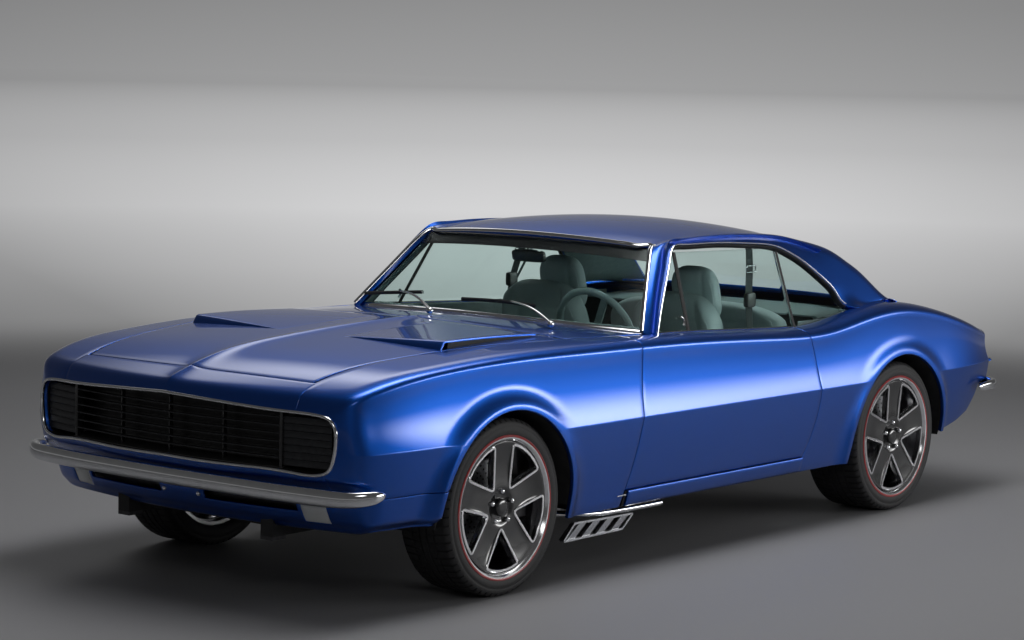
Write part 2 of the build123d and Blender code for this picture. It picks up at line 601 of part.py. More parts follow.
spring = spring + block(REAR_AXLE_X - 50, REAR_AXLE_X + 50, SPRING_Y - 25, SPRING_Y + 25, spring_z,
                        TYRE_R)
rear_axle = rear_axle + both(spring)


# Brakes: a caliper in two cheeks around the disc, behind the front hubs and ahead of the rear ones
def caliper(axle_x, outer_y, way):
    x_far = axle_x + way * 206
    x_near = axle_x + way * 112
    cheeks = block(min(x_far, x_near), max(x_far, x_near), outer_y - 136, outer_y - 70, TYRE_R - 62,
                   TYRE_R + 62)
    x_slot = axle_x + way * (DISC_R + 8)
    slot = block(min(x_slot, axle_x), max(x_slot, axle_x), outer_y - 123, outer_y - 83, TYRE_R - 70,
                 TYRE_R + 70)
    arm = block(min(x_near + way * 30, axle_x), max(x_near + way * 30, axle_x), outer_y - 160,
                outer_y - 124, TYRE_R - 30, TYRE_R + 30)
    return (cheeks - slot) + arm


SPINDLE_END = 58.0
spindle_rear = rod_y(REAR_AXLE_X, TYRE_R, TYRE_OUTER_Y_REAR - 165, TYRE_OUTER_Y_REAR - SPINDLE_END,
                     SPINDLE_R)
rear_axle = rear_axle + both(caliper(REAR_AXLE_X, TYRE_OUTER_Y_REAR, 1) + spindle_rear)

knuckle_left = block(FRONT_AXLE_X - 30, FRONT_AXLE_X + 30, KINGPIN_Y - 26, KINGPIN_Y + 12,
                     ARM_LOW_Z + ARM_T + 6, ARM_TOP_Z - 6)
knuckle_left = knuckle_left + rod_y(FRONT_AXLE_X, TYRE_R, KINGPIN_Y - 20,
                                    TYRE_OUTER_Y_FRONT - SPINDLE_END, SPINDLE_R)
knuckle_left = knuckle_left + caliper(FRONT_AXLE_X, TYRE_OUTER_Y_FRONT, -1)
knuckle_left = knuckle_left - rod_z(FRONT_AXLE_X, KINGPIN_Y, 0, ARM_LOW_Z + 54, KINGPIN_R + RUNNING)
knuckle_left = knuckle_left - rod_z(FRONT_AXLE_X, KINGPIN_Y, ARM_TOP_Z - 37, 600, KINGPIN_R + RUNNING)


# Wheels: tyre, wheel and disc around an axle line, outer face towards +Y
def spin(points_ry, x):
    face = path(lambda p: (x + p[0], p[1], TYRE_R), *points_ry)
    return revolve(face, Axis((x, 0, TYRE_R), (0, 1, 0)))


def tyre(x, outer_y, width):
    s = TYRE_SHOULDER
    inner_y = outer_y - width
    bead = RIM_SEAT_R
    return spin([(bead, inner_y + 16), (bead + 22, inner_y + 5), (TYRE_R - s, inner_y),
                 (TYRE_R - 6, inner_y + s * 0.5), (TYRE_R, inner_y + s * 1.3),
                 (TYRE_R, outer_y - s * 1.3), (TYRE_R - 6, outer_y - s * 0.5), (TYRE_R - s, outer_y),
                 (bead + 26, outer_y - 4), (bead + 15, outer_y - 13), (bead, outer_y - 16)], x)


def wheel(x, outer_y, width):
    inner_y = outer_y - width
    seat = RIM_SEAT_R - SEAT_GAP
    drop = seat - 16
    rim = spin([(seat - RIM_BARREL_T, inner_y + 16), (seat, inner_y + 16), (seat, inner_y + 70),
                (drop, inner_y + 90), (drop, outer_y - 90), (seat, outer_y - 60), (seat, outer_y - 13),
                (RIM_LIP_R, outer_y - 10), (RIM_LIP_R, outer_y - 1), (RIM_LIP_R - 8, outer_y - 3),
                (RIM_LIP_R - 20, outer_y - 14), (seat - RIM_BARREL_T, outer_y - 60),
                (drop - RIM_BARREL_T, outer_y - 90), (drop - RIM_BARREL_T, inner_y + 90),
                (seat - RIM_BARREL_T, inner_y + 70)], x)
    face_y = outer_y - SPOKE_SET
    web = spin([(0, face_y - SPOKE_T), (HUB_R, face_y - SPOKE_T), (RIM_SEAT_R - 4, face_y - SPOKE_T - 6),
                (RIM_SEAT_R - 4, face_y - 4), (HUB_R, face_y), (CAP_R, face_y), (CAP_R, face_y + 10),
                (0, face_y + 10)], x)
    for k in range(SPOKE_COUNT):
        a = 90 + 360 / SPOKE_COUNT * (k + 0.5)
        spread = ((WINDOW_IN_R, 0), (WINDOW_OUT_R, -WINDOW_HALF_DEG), (WINDOW_OUT_R + 6, 0),
                  (WINDOW_OUT_R, WINDOW_HALF_DEG))
        tip, low, top, high = [(x + r * cos(radians(a + d)), TYRE_R + r * sin(radians(a + d))) for r,
                               d in spread]
        web = web - side_prism(outer_y - 90, outer_y + 10, tip, low, (top, high))
        b = 90 + 360 / SPOKE_COUNT * k
        web = web + rod_y(x + LUG_PCD / 2 * cos(radians(b)), TYRE_R + LUG_PCD / 2 * sin(radians(b)),
                          face_y - 2, face_y + LUG_H, LUG_R)
    return rim + web


def disc(x, outer_y):
    back = outer_y - SPOKE_SET - SPOKE_T
    return spin([(SPINDLE_R + RUNNING, outer_y - 116), (DISC_R, outer_y - 116), (DISC_R, outer_y - 90),
                 (HUB_R, outer_y - 90), (HUB_R, back), (SPINDLE_R + RUNNING, back)], x)


nodes = {}
for end, x, outer_y, width in (("front", FRONT_AXLE_X, TYRE_OUTER_Y_FRONT, TYRE_WIDTH_FRONT),
                               ("rear", REAR_AXLE_X, TYRE_OUTER_Y_REAR, TYRE_WIDTH_REAR)):
    for name, shape in (("tyre", tyre(x, outer_y, width)), ("wheel", wheel(x, outer_y, width)),
                        ("disc", disc(x, outer_y))):
        nodes[f"{name}_{end}_left"] = shape
        nodes[f"{name}_{end}_right"] = other_side(shape)


# Bumpers as bent bars, front valance, lamps and grille
def bar(x_mid, x_turn, y_turn, x_tip, y_tip, low, way):
    t = BUMPER_T * way
    face = path(lambda p: (p[0], p[1], low), (x_tip, y_tip), (x_turn - way * 40, y_tip),
                ((x_turn, y_turn + (y_tip - y_turn) * 0.7), (x_turn + way * 30, y_turn)),
                ((x_mid, 0), (x_turn + way * 30, -y_turn)),
                ((x_turn, -y_turn - (y_tip - y_turn) * 0.7), (x_turn - way * 40, -y_tip)),
                (x_tip, -y_tip), (x_tip, -y_tip + BUMPER_T * 0.6),
                (x_turn - way * 50, -y_tip + BUMPER_T * 0.6), (x_turn + way * 30 - t, -y_turn + 12),
                ((x_mid - t, 0), (x_turn + way * 30 - t, y_turn - 12)),
                (x_turn - way * 50, y_tip - BUMPER_T * 0.6), (x_tip, y_tip - BUMPER_T * 0.6))
    form = Solid.extrude(face, Vector(0, 0, BUMPER_H))
    return form


front_bumper = bar(LENGTH / 2, NOSE_X - 62, 800, NOSE_X - 215, 898, BUMPER_LOW_Z, 1)
front_bumper = front_bumper + both(block(FRAME_FRONT_X, NOSE_X - 12, RAIL_IN_Y + 8, RAIL_OUT_Y - 8,
                                         BUMPER_LOW_Z + 12, BUMPER_LOW_Z + 60)
                                   + block(FRAME_FRONT_X, FRAME_FRONT_X + 12, RAIL_IN_Y + 8,
                                           RAIL_OUT_Y - 8, RAIL_LOW_Z, BUMPER_LOW_Z + 60))
rear_bumper = bar(-LENGTH / 2, TAIL_X + 22, 790, TAIL_X + 260, 898, REAR_BUMPER_LOW_Z, -1)


VALANCE_HALF_Y = 772.0


def nose_band(set_back, t, z0, z1, half_y):
    front = NOSE_X - set_back
    band = plan_prism(z0, z1, (front - NOSE_SWEEP, -SWEEP_SPAN),
                      ((front, 0), (front - NOSE_SWEEP, SWEEP_SPAN)),
                      (front - NOSE_SWEEP - t, SWEEP_SPAN),
                      ((front - t, 0), (front - NOSE_SWEEP - t, -SWEEP_SPAN)))
    return band & block(NOSE_X - 600, NOSE_X + 60, -half_y, half_y, z0, z1)


PARK_IN_Y = 560.0
PARK_OUT_Y = 672.0
PARK_LOW_Z = 345.0
PARK_TOP_Z = 408.0
PARK_SKEW = 26.0
SLOT_IN_Y = 250.0
SLOT_OUT_Y = 500.0
SLOT_LOW_Z = 362.0
SLOT_TOP_Z = 400.0


def park_mouth(inset):
    return front_prism(NOSE_X - 400, NOSE_X, (PARK_IN_Y + inset, PARK_LOW_Z + inset),
                       (PARK_OUT_Y - PARK_SKEW - inset, PARK_LOW_Z + inset),
                       (PARK_OUT_Y - inset, PARK_TOP_Z - inset),
                       (PARK_IN_Y + PARK_SKEW + inset, PARK_TOP_Z - inset))


valance_front = nose_band(VALANCE_SET, VALANCE_T, VALANCE_LOW_Z, BUMPER_LOW_Z - 2,
                          SWEEP_SPAN) & inner_skin
valance_front = valance_front - both(block(NOSE_X - 500, NOSE_X, SLOT_IN_Y, SLOT_OUT_Y, SLOT_LOW_Z,
                                           SLOT_TOP_Z)) - both(park_mouth(0))
valance_front = valance_front - both(rod_x(PLATE_HOLE_SPACING / 2, FRONT_PLATE_Z, NOSE_X - 500, NOSE_X,
                                           PLATE_HOLE_R))
parking_lamps = both(nose_band(VALANCE_SET - 6, VALANCE_T, PARK_LOW_Z, PARK_TOP_Z, VALANCE_HALF_Y)
                     & park_mouth(SEAT_GAP))

# Grille: bars across the mouth between lamp doors
BAR_H = 7.0
RIB_T = 7.0
GRILLE_SET = 26.0
GRILLE_RIBS = (-378.0, -126.0, 126.0, 378.0)
mouth_seat = front_prism(NOSE_X - 260, NOSE_X + 60, (-GRILLE_HALF_Y + 23, GRILLE_LOW_Z + SEAT_GAP),
                         (GRILLE_HALF_Y - 23, GRILLE_LOW_Z + SEAT_GAP),
                         (GRILLE_HALF_Y - 1, GRILLE_LOW_Z + 110),
                         (GRILLE_HALF_Y - 15, GRILLE_TOP_Z - SEAT_GAP), (0, GRILLE_TOP_Z + 22 - SEAT_GAP),
                         (-GRILLE_HALF_Y + 15, GRILLE_TOP_Z - SEAT_GAP),
                         (-GRILLE_HALF_Y + 1, GRILLE_LOW_Z + 110))
grille_form = nose_band(GRILLE_SET, GRILLE_DEPTH, GRILLE_LOW_Z - 10, GRILLE_TOP_Z + 60,
                        SWEEP_SPAN) & mouth_seat
grille = nose_band(GRILLE_SET + 30, 14, GRILLE_LOW_Z - 10, GRILLE_TOP_Z + 60, SWEEP_SPAN) & mouth_seat
bar_step = (GRILLE_TOP_Z - GRILLE_LOW_Z) / GRILLE_BARS
for k in range(GRILLE_BARS + 1):
    z = GRILLE_LOW_Z + bar_step * k
    grille = grille + (grille_form
                       & block(NOSE_X - 400, NOSE_X, -GRILLE_HALF_Y, GRILLE_HALF_Y, z - BAR_H / 2,
                               z + BAR_H / 2))
for y in GRILLE_RIBS:
    grille = grille + (grille_form
                       & block(NOSE_X - 400, NOSE_X, y - RIB_T / 2, y + RIB_T / 2, GRILLE_LOW_Z,
                               GRILLE_TOP_Z + 30))
lamp_door = nose_band(GRILLE_SET - 6, 30, GRILLE_LOW_Z + 10, GRILLE_TOP_Z - 8, GRILLE_HALF_Y - 40)
grille = grille + both(lamp_door & block(NOSE_X - 400, NOSE_X, LAMP_DOOR_IN_Y, GRILLE_HALF_Y, 0, 1000))

# Tail lamps, rear plate holes and rear valance
TAIL_LAMP_IN_Y = 430.0
TAIL_LAMP_OUT_Y = 620.0
TAIL_LAMP_LOW_Z = 560.0
TAIL_LAMP_TOP_Z = 650.0
tail_lamps = None
for y0, y1 in ((TAIL_LAMP_IN_Y, (TAIL_LAMP_IN_Y + TAIL_LAMP_OUT_Y) / 2 - 5),
               ((TAIL_LAMP_IN_Y + TAIL_LAMP_OUT_Y) / 2 + 5, TAIL_LAMP_OUT_Y)):
    mouth = block(TAIL_X - 60, TAIL_X + 120, y0, y1, TAIL_LAMP_LOW_Z, TAIL_LAMP_TOP_Z)
    tail_panel = tail_panel - both(mouth)
    lens = block(TAIL_X - 60, TAIL_X + 120, y0 + SEAT_GAP, y1 - SEAT_GAP, TAIL_LAMP_LOW_Z + SEAT_GAP,
                 TAIL_LAMP_TOP_Z - SEAT_GAP)
    lens = both(lens & (body(-4) - inner_skin))
    tail_lamps = lens if tail_lamps is None else tail_lamps + lens
tail_panel = tail_panel - both(rod_x(PLATE_HOLE_SPACING / 2, REAR_PLATE_Z, TAIL_X - 60, TAIL_X + 120,
                                     PLATE_HOLE_R))
rear_bumper = rear_bumper + both(block(-LENGTH / 2 + BUMPER_T - 6, TAIL_X + 40, 300, 350,
                                       REAR_BUMPER_LOW_Z + 8, REAR_BUMPER_LOW_Z + 40)) - outer

# Cabin: seats, bench, dash, steering wheel
SEAT_IN_Y = 172.0
SEAT_OUT_Y = 652.0
SEAT_FRONT_X = DOOR_FRONT_X - 640
SEAT_BACK_X = DOOR_FRONT_X - 1120
CUSHION_Z = 520.0
BACK_TOP_Z = 985.0
REST_TOP_Z = 1128.0
front_seat = side_prism(SEAT_IN_Y, SEAT_OUT_Y, (SEAT_FRONT_X, FLOOR_Z + FLOOR_T),
                        (SEAT_FRONT_X + 30, CUSHION_Z + 10), (SEAT_BACK_X + 160, CUSHION_Z - 30),
                        (SEAT_BACK_X, BACK_TOP_Z), (SEAT_BACK_X - 110, BACK_TOP_Z - 15),
                        (SEAT_BACK_X + 20, FLOOR_Z + FLOOR_T))
rest_mid = (SEAT_IN_Y + SEAT_OUT_Y) / 2
front_seat = front_seat + side_prism(rest_mid - 130, rest_mid + 130, (SEAT_BACK_X - 5, BACK_TOP_Z - 20),
                                     (SEAT_BACK_X - 35, REST_TOP_Z), (SEAT_BACK_X - 115, REST_TOP_Z - 10),
                                     (SEAT_BACK_X - 105, BACK_TOP_Z - 20))
front_seats = both(front_seat)
BENCH_HALF_Y = 530.0
bench_z = REAR_FLOOR_Z + REAR_FLOOR_T
rear_seat = side_prism(-BENCH_HALF_Y, BENCH_HALF_Y, (KICK_X - 22, bench_z), (KICK_X - 30, bench_z + 125),
                       (BULKHEAD_X + 150, bench_z + 105), (BULKHEAD_X + 105, 880), (BULKHEAD_X, 875),
                       (BULKHEAD_X, bench_z))

DASH_HALF_Y = 748.0
dashboard = side_prism(-DASH_HALF_Y, DASH_HALF_Y, (COWL_REAR_X - 100, 872), (COWL_REAR_X - 122, 830),
                       (COWL_REAR_X - 95, 700), (COWL_REAR_X, 640), (COWL_REAR_X + 200, 640),
                       (COWL_REAR_X + 200, 1000), (COWL_REAR_X + 1, 1000),
                       (COWL_REAR_X + 1, 880)) & inner_skin
COLUMN_R = 17.0
COLUMN_L = 150.0
steer_plane = Plane(origin=(STEER_WHEEL_X, STEER_WHEEL_Y, STEER_WHEEL_Z),
                    z_dir=(-sin(radians(STEER_TILT)), 0, cos(radians(STEER_TILT))))
steering_wheel = Torus(STEER_WHEEL_R, 15) + Pos(0, 0, -30) * Cylinder(42, 50) + Pos(0, 0,
        -30 - COLUMN_L / 2) * Cylinder(COLUMN_R, COLUMN_L)
for k in range(3):
    steering_wheel = steering_wheel + Rot(0, 0, 90 + 120 * k) * Pos(STEER_WHEEL_R / 2, 0,
            -12) * Box(STEER_WHEEL_R - 4, 30, 10)
steering_wheel = steer_plane * steering_wheel
dashboard = dashboard - steer_plane * (Pos(0, 0, -250) * Cylinder(COLUMN_R + RUNNING, 400))

# Exhaust with side outlets under the sills
MUFFLER_FRONT_X = DOOR_FRONT_X + 130
MUFFLER_REAR_X = DOOR_FRONT_X - 330
OUTLET_Y = 800.0
OUTLET_T = 30.0
OUTLET_LOW_Z = 150.0
OUTLET_TOP_Z = 206.0
OUTLET_FRONT_X = FRONT_AXLE_X - 425
OUTLET_L = 380.0
OUTLET_RAKE = 76.0
PIPE_R = 20.0
LINK_PIPE_R = 15.0
PIPE_Y = OUTLET_Y - 8
PIPE_Z = OUTLET_TOP_Z + 8
FIN_COUNT = 4
FIN_T = 12.0
FRAME_EDGE = 9.0


def outlet(inset, y0, y1):
    """Raked frame of a side outlet, each edge moved in by inset."""
    front = OUTLET_FRONT_X - inset * 2.2
    front_top = OUTLET_FRONT_X - OUTLET_RAKE - inset * 0.8
    rear = OUTLET_FRONT_X - OUTLET_L + inset * 0.8
    rear_top = OUTLET_FRONT_X - OUTLET_RAKE - OUTLET_L + inset * 2.2
    low = OUTLET_LOW_Z + inset
    top = OUTLET_TOP_Z - inset
    return side_prism(y0, y1, (front, low), (front_top, top), (rear_top, top), (rear, low))


outlet_frame = outlet(0, OUTLET_Y, OUTLET_Y + OUTLET_T) - outlet(FRAME_EDGE, OUTLET_Y + 6,
        OUTLET_Y + OUTLET_T + 1)
for k in range(FIN_COUNT):
    x = OUTLET_FRONT_X - OUTLET_L * (k + 1) / (FIN_COUNT + 1)
    fin = side_prism(OUTLET_Y, OUTLET_Y + OUTLET_T, (x, OUTLET_LOW_Z), (x - OUTLET_RAKE, OUTLET_TOP_Z),
                     (x - OUTLET_RAKE - FIN_T, OUTLET_TOP_Z), (x - FIN_T, OUTLET_LOW_Z))
    outlet_frame = outlet_frame + (fin & outlet(4, OUTLET_Y + 3, OUTLET_Y + OUTLET_T - 4))
exhaust = outlet_frame + rod_x(PIPE_Y, PIPE_Z, MUFFLER_REAR_X + 60, OUTLET_FRONT_X - OUTLET_RAKE - 60,
                               PIPE_R)
exhaust = exhaust + block(MUFFLER_REAR_X, MUFFLER_FRONT_X, 520, 672, 178, FLOOR_Z)
exhaust = exhaust + rod_y(MUFFLER_REAR_X + 120, PIPE_Z, 660, PIPE_Y - 4, LINK_PIPE_R)
exhaust = exhaust + rod_x(596, PIPE_Z, MUFFLER_FRONT_X - 10, ENGINE_REAR_X - 100, PIPE_R)
exhaust = both(exhaust)

# Wipers on the cowl
WIPER_PIVOTS = ((FRONT_AXLE_X - 605, -40.0), (FRONT_AXLE_X - 690, 520.0))
WIPER_L = 330.0
wipers = None
for x, y in WIPER_PIVOTS:
    post = rod_z(x, y, 900, 955, 10) - outer
    arm = Pos(x, y, 952) * Rot(0, 0, 12) * Pos(0, -WIPER_L / 2, 0) * Box(10, WIPER_L, 7)
    piece = post + arm
    wipers = piece if wipers is None else wipers + piece

nodes.update(wheelhouses)
nodes.update(floor_pan=floor_pan, front_frame=front_frame, tow_eyes=tow_eyes, engine_block=engine_block,
             driveline=driveline, fuel_tank=fuel_tank, rear_axle=rear_axle, exhaust=exhaust,
             nose_panel=nose_panel, front_valance=valance_front, grille=grille, front_bumper=front_bumper,
             parking_lamps=parking_lamps, cowl_panel=cowl_panel, hood=hood, fender_left=fender_left,
             fender_right=other_side(fender_left), roof_shell=roof_shell, fixed_glass=fixed_glass,
             quarter_left=quarter_left, quarter_right=other_side(quarter_left), rear_deck=rear_deck,
             deck_lid=deck_lid, tail_panel=tail_panel, rear_bumper=rear_bumper, tail_lamps=tail_lamps,
             door_left=door_left, door_right=other_side(door_left), door_glass_left=door_glass_left,
             door_glass_right=other_side(door_glass_left), front_seats=front_seats, rear_seat=rear_seat,
             dashboard=dashboard, steering_wheel=steering_wheel, knuckle_left=knuckle_left,
             knuckle_right=other_side(knuckle_left), wipers=wipers)
os.makedirs("parts", exist_ok=True)
for name, shape in nodes.items():
    export_step(shape, f"parts/{name}.step")
    print(name, [round(solid.volume / 1e3) for solid in shape.solids()], shape.is_valid)
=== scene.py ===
import json
import math

import bmesh
import bpy
import numpy as np
from mathutils import Matrix, Vector

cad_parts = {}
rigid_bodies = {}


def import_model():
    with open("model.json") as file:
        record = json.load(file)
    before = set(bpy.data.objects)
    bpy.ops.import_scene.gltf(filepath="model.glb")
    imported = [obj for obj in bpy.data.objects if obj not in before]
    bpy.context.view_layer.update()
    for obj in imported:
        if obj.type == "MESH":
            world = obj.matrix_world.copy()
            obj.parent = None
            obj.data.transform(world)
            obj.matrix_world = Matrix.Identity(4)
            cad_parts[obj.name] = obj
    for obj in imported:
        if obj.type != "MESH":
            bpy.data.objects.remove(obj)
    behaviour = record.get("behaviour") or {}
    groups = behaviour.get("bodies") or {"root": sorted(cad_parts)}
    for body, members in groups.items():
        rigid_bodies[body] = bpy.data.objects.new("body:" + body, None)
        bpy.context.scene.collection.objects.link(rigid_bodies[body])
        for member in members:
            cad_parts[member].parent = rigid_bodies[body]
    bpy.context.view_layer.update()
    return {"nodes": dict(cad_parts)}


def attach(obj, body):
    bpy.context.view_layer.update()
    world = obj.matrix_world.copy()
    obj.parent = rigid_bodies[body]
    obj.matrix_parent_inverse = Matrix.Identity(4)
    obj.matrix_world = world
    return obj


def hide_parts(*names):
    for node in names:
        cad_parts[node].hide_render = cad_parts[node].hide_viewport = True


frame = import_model()

# All sizes below are in millimetres, in the car's frame: +X to the nose, +Y to its left, +Z up
MM = 0.001
LENGTH = 4691.0
FRONT_AXLE_X = LENGTH / 2 - 932
REAR_AXLE_X = FRONT_AXLE_X - 2746
NOSE_X = LENGTH / 2 - 33
TAIL_X = -LENGTH / 2 + 33
NOSE_LINE_X = NOSE_X + 25
NOSE_SWEEP = 162.0
TAIL_SWEEP = 55.0
SWEEP_SPAN = 1000.0
SILL_Z = 250.0
CREASE_Z = 605.0
GAP = 6.0
ROLL = 2.0
ROLL_STEPS = (30, 60, 90)
SKIN = 16.0
SHARP = 38.0

# Rows of points up a side panel: below the crease, above it, round the shoulder, on the top
LOWER_ROWS = 15
UPPER_ROWS = 14
BEND_ROWS = 9
TOP_ROWS = 6

# Body sections from nose to tail: half widths y and heights z
SECTION_COLUMNS = ("x", "y_low", "y_crease", "y_side", "z_side", "y_edge", "z_edge", "z_mid")
SECTIONS = (
    (NOSE_X + 40, 724, 792, 768, 735, 708, 758, 794),
    (FRONT_AXLE_X + 690, 800, 862, 838, 812, 772, 846, 872),
    (FRONT_AXLE_X + 340, 835, 898, 868, 862, 792, 896, 918),
    (FRONT_AXLE_X, 848, 908, 880, 876, 800, 914, 938),
    (FRONT_AXLE_X - 510, 850, 910, 884, 872, 806, 915, 948),
    (FRONT_AXLE_X - 1110, 850, 910, 886, 862, 812, 905, 922),
    (REAR_AXLE_X + 980, 850, 910, 888, 834, 814, 876, 890),
    (REAR_AXLE_X + 520, 850, 912, 890, 834, 814, 878, 892),
    (REAR_AXLE_X + 260, 850, 916, 892, 870, 808, 916, 926),
    (REAR_AXLE_X + 20, 850, 917, 892, 886, 800, 934, 944),
    (REAR_AXLE_X - 370, 840, 905, 874, 846, 785, 890, 908),
    (REAR_AXLE_X - 770, 800, 868, 838, 752, 752, 796, 816),
    (TAIL_X - 40, 738, 800, 774, 690, 698, 730, 746),
)
LOW_BULGE = 4.0
SIDE_HOLLOW = 9.0
SHOULDER_PULL = 0.6
RIDGE_H = 9.0
RIDGE_W = 30.0
RIDGE_REAR_X = 640.0
RIDGE_RUN = 280.0

# Wheel arches with rolled lips
ARCH_R = 385.0
ARCH_Z = 322.0
ARCHES = ((FRONT_AXLE_X + 5, 914.0), (REAR_AXLE_X - 16, 917.0))
LIP_W = 22.0
LIP_BLEND = 78.0
LIP_FALL = 30.0

# Panel borders
DOOR_LOW_Z = 317.0
DOOR_FRONT = ((317.0, 661.5), (605.0, 607.5), (990.0, 599.5))
DOOR_REAR = ((317.0, -599.5), (590.0, -670.5), (885.0, -573.5))
DOOR_TOP_Y = 786.0
DOOR_SKIN = 8.0
DOOR_INNER_Y = 779.0
DOOR_TOP_DROP = 14.0
HOOD_REAR_X = FRONT_AXLE_X - 470
COWL_ROOM = 7.0
HOOD_FRONT_X = NOSE_X - 122
HOOD_BOW = 30.0
HOOD_HALF = ((913.5, 734.0), (1003.5, 732.0), (2160.5, 578.0))
NOSE_HALF_Y = 600.0
NOSE_SLANT = 0.42
NOSE_ROUND = 78.0
CORNER_ROUND = 34.0
CORNER_Y = 640.0
CORNER_W = 150.0
MOUTH_SET = 6.0
MOUTH_LOW_Z = 528.0
LIP_TUCK = 60.0
LIP_HALF_Y = 718.0
LIP_LOW_Z = 446.0
BUMPER_TOP_Z = 520.0
VALANCE_TOP_Z = 438.0
VALANCE_Y = (0, 40, 89, 112, 150, 200, 260, 320, 380, 440, 500, 540, 553, 580, 608, 636, 663, 690, 718)
VALANCE_Z = (438, 431, 424, 417, 410, 404, 396, 388, 380, 374, 364, 354, 345, 336, 326, 318, 311, 305,
             301, 300)
# Height and distance behind the nose line of the valance, which slopes back and curls under
VALANCE_SET = ((300, 178), (304, 160), (316, 144), (336, 127), (365, 109), (402, 93), (438, 88))
SLOT_BOX = (112, 540, 410, 374)
LAMP_BOX = (553, 663, 404, 336)
COWL_REAR_X = 432.5
COWL_HALF_Y = 736.0
COWL_FLARE = 34.0
LID_FRONT_X = REAR_AXLE_X - 350
LID_REAR_X = TAIL_X + 70
LID_HALF_Y = 640.0
EDGE_R = 26.0
TAIL_RISE = ((1830, 326), (1935, 348), (2040, 385), (2105, 450), (2141, 512))
ROCKER_ROWS = ((248.5, 18), (249, 6), (253, 1.5), (262, 0), (280, 0), (296, 0), (309, 0.5), (313, 3))
NOSE_LIP_ROWS = ((0, 7), (0.07, 4), (0.16, 6), (0.3, 14), (0.46, 28), (0.64, 44), (0.82, 57), (1, 66))


# Small tools for curves
def spline(knots_x, knots_y):
    """Natural cubic curve through the knots, as a function of x."""
    order = np.argsort(knots_x)
    x = np.asarray(knots_x, float)[order]
    y = np.asarray(knots_y, float)[order]
    n = len(x)
    h = np.diff(x)
    left = np.zeros((n, n))
    right = np.zeros(n)
    left[0, 0] = left[-1, -1] = 1
    for i in range(1, n - 1):
        left[i, i - 1:i + 2] = h[i - 1], 2 * (h[i - 1] + h[i]), h[i]
        right[i] = 6 * ((y[i + 1] - y[i]) / h[i] - (y[i] - y[i - 1]) / h[i - 1])
    bend = np.linalg.solve(left, right)

    def value(q):
        q = np.asarray(q, float)
        k = np.clip(np.searchsorted(x, q) - 1, 0, n - 2)
        a = x[k + 1] - q
        b = q - x[k]
        cubic = (bend[k] * a ** 3 + bend[k + 1] * b ** 3) / (6 * h[k])
        low = (y[k] / h[k] - bend[k] * h[k] / 6) * a
        high = (y[k + 1] / h[k] - bend[k + 1] * h[k] / 6) * b
        return cubic + low + high

    return value


def through(points):
    """Parabola through three (z, x) points, as a function of z."""
    z, x = np.array(points, float).T
    coefficients = np.polyfit(z, x, 2)
    return lambda q: np.polyval(coefficients, q)


def ease(t):
    t = np.clip(t, 0, 1)
    return t * t * (3 - 2 * t)


def lengths(points):
    """Length along a line of points up to each of them."""
    return np.concatenate([[0], np.cumsum(np.linalg.norm(np.diff(points, axis=0), axis=1))])


def unit(vectors):
    return vectors / np.linalg.norm(vectors, axis=-1, keepdims=True)


def dots(x, y, z):
    """Points with these coordinates; a single number is repeated as often as needed."""
    return np.stack(np.broadcast_arrays(x, y, z), -1).astype(float)


def cubic_weights(s):
    return (1 - s) ** 3, 3 * s * (1 - s) ** 2, 3 * s * s * (1 - s), s ** 3


def arc_points(start, middle, stop, n):
    """n points on an arc from start to stop that bends towards middle."""
    shares = np.linspace(0, 1, n)
    return [start * (1 - s) ** 2 + middle * 2 * s * (1 - s) + stop * s * s for s in shares]


def line(points, n):
    """n points evenly spaced on a smooth curve through 3-D points."""
    points = np.asarray(points, float)
    run = lengths(points)
    fine = np.linspace(0, run[-1], 400)
    dense = np.stack([spline(run, points[:, i])(fine) for i in range(3)], 1)
    walk = lengths(dense)
    even = np.linspace(0, walk[-1], n)
    return np.stack([np.interp(even, walk, dense[:, i]) for i in range(3)], 1)


def bezier(p0, p1, p2, p3, n):
    """Steps along cubic curves that start at rows of points p0, without the start."""
    steps = []
    for s in np.linspace(0, 1, n + 1)[1:]:
        a, b, c, d = cubic_weights(s)
        steps.append(p0 * a + p1 * b + p2 * c + p3 * d)
    return steps


def soft_corners(corners, radius, n=6):
    """Closed loop of 2-D corners, each rounded off."""
    corners = np.asarray(corners, float)
    loop = []
    for i, p in enumerate(corners):
        a, b = corners[i - 1], corners[(i + 1) % len(corners)]
        r = radius[i]
        if r == 0:
            loop.append(p)
            continue
        start = p + (a - p) * min(r / np.linalg.norm(a - p), 0.49)
        stop = p + (b - p) * min(r / np.linalg.norm(b - p), 0.49)
        loop += arc_points(start, p, stop, n)
    return np.array(loop)


def round_profile(rx, rz, n=12):
    a = np.linspace(0, 2 * np.pi, n, endpoint=False)
    return np.column_stack([rx * np.cos(a), rz * np.sin(a)])


# Curves of the body
TABLE = np.array(SECTIONS, float)
valance_back = spline(*np.array(VALANCE_SET, float).T)
COLUMN = {name: spline(TABLE[:, 0], TABLE[:, i]) for i, name in enumerate(SECTION_COLUMNS) if i}
door_front = through(DOOR_FRONT)
door_rear_arc = through(DOOR_REAR)


def door_rear(z):
    return np.where(z > DOOR_REAR[-1][0], DOOR_REAR[-1][1],
                    door_rear_arc(np.minimum(z, DOOR_REAR[-1][0])))


# The form of the body
def nose_x(y):
    return NOSE_LINE_X - NOSE_SWEEP * (y / SWEEP_SPAN) ** 2


def tail_x(y):
    return TAIL_X + TAIL_SWEEP * (y / SWEEP_SPAN) ** 2


def nose_run(y):
    """How far behind the nose line the front edge starts to round off."""
    return NOSE_ROUND + CORNER_ROUND * ease((np.abs(y) - CORNER_Y) / CORNER_W)


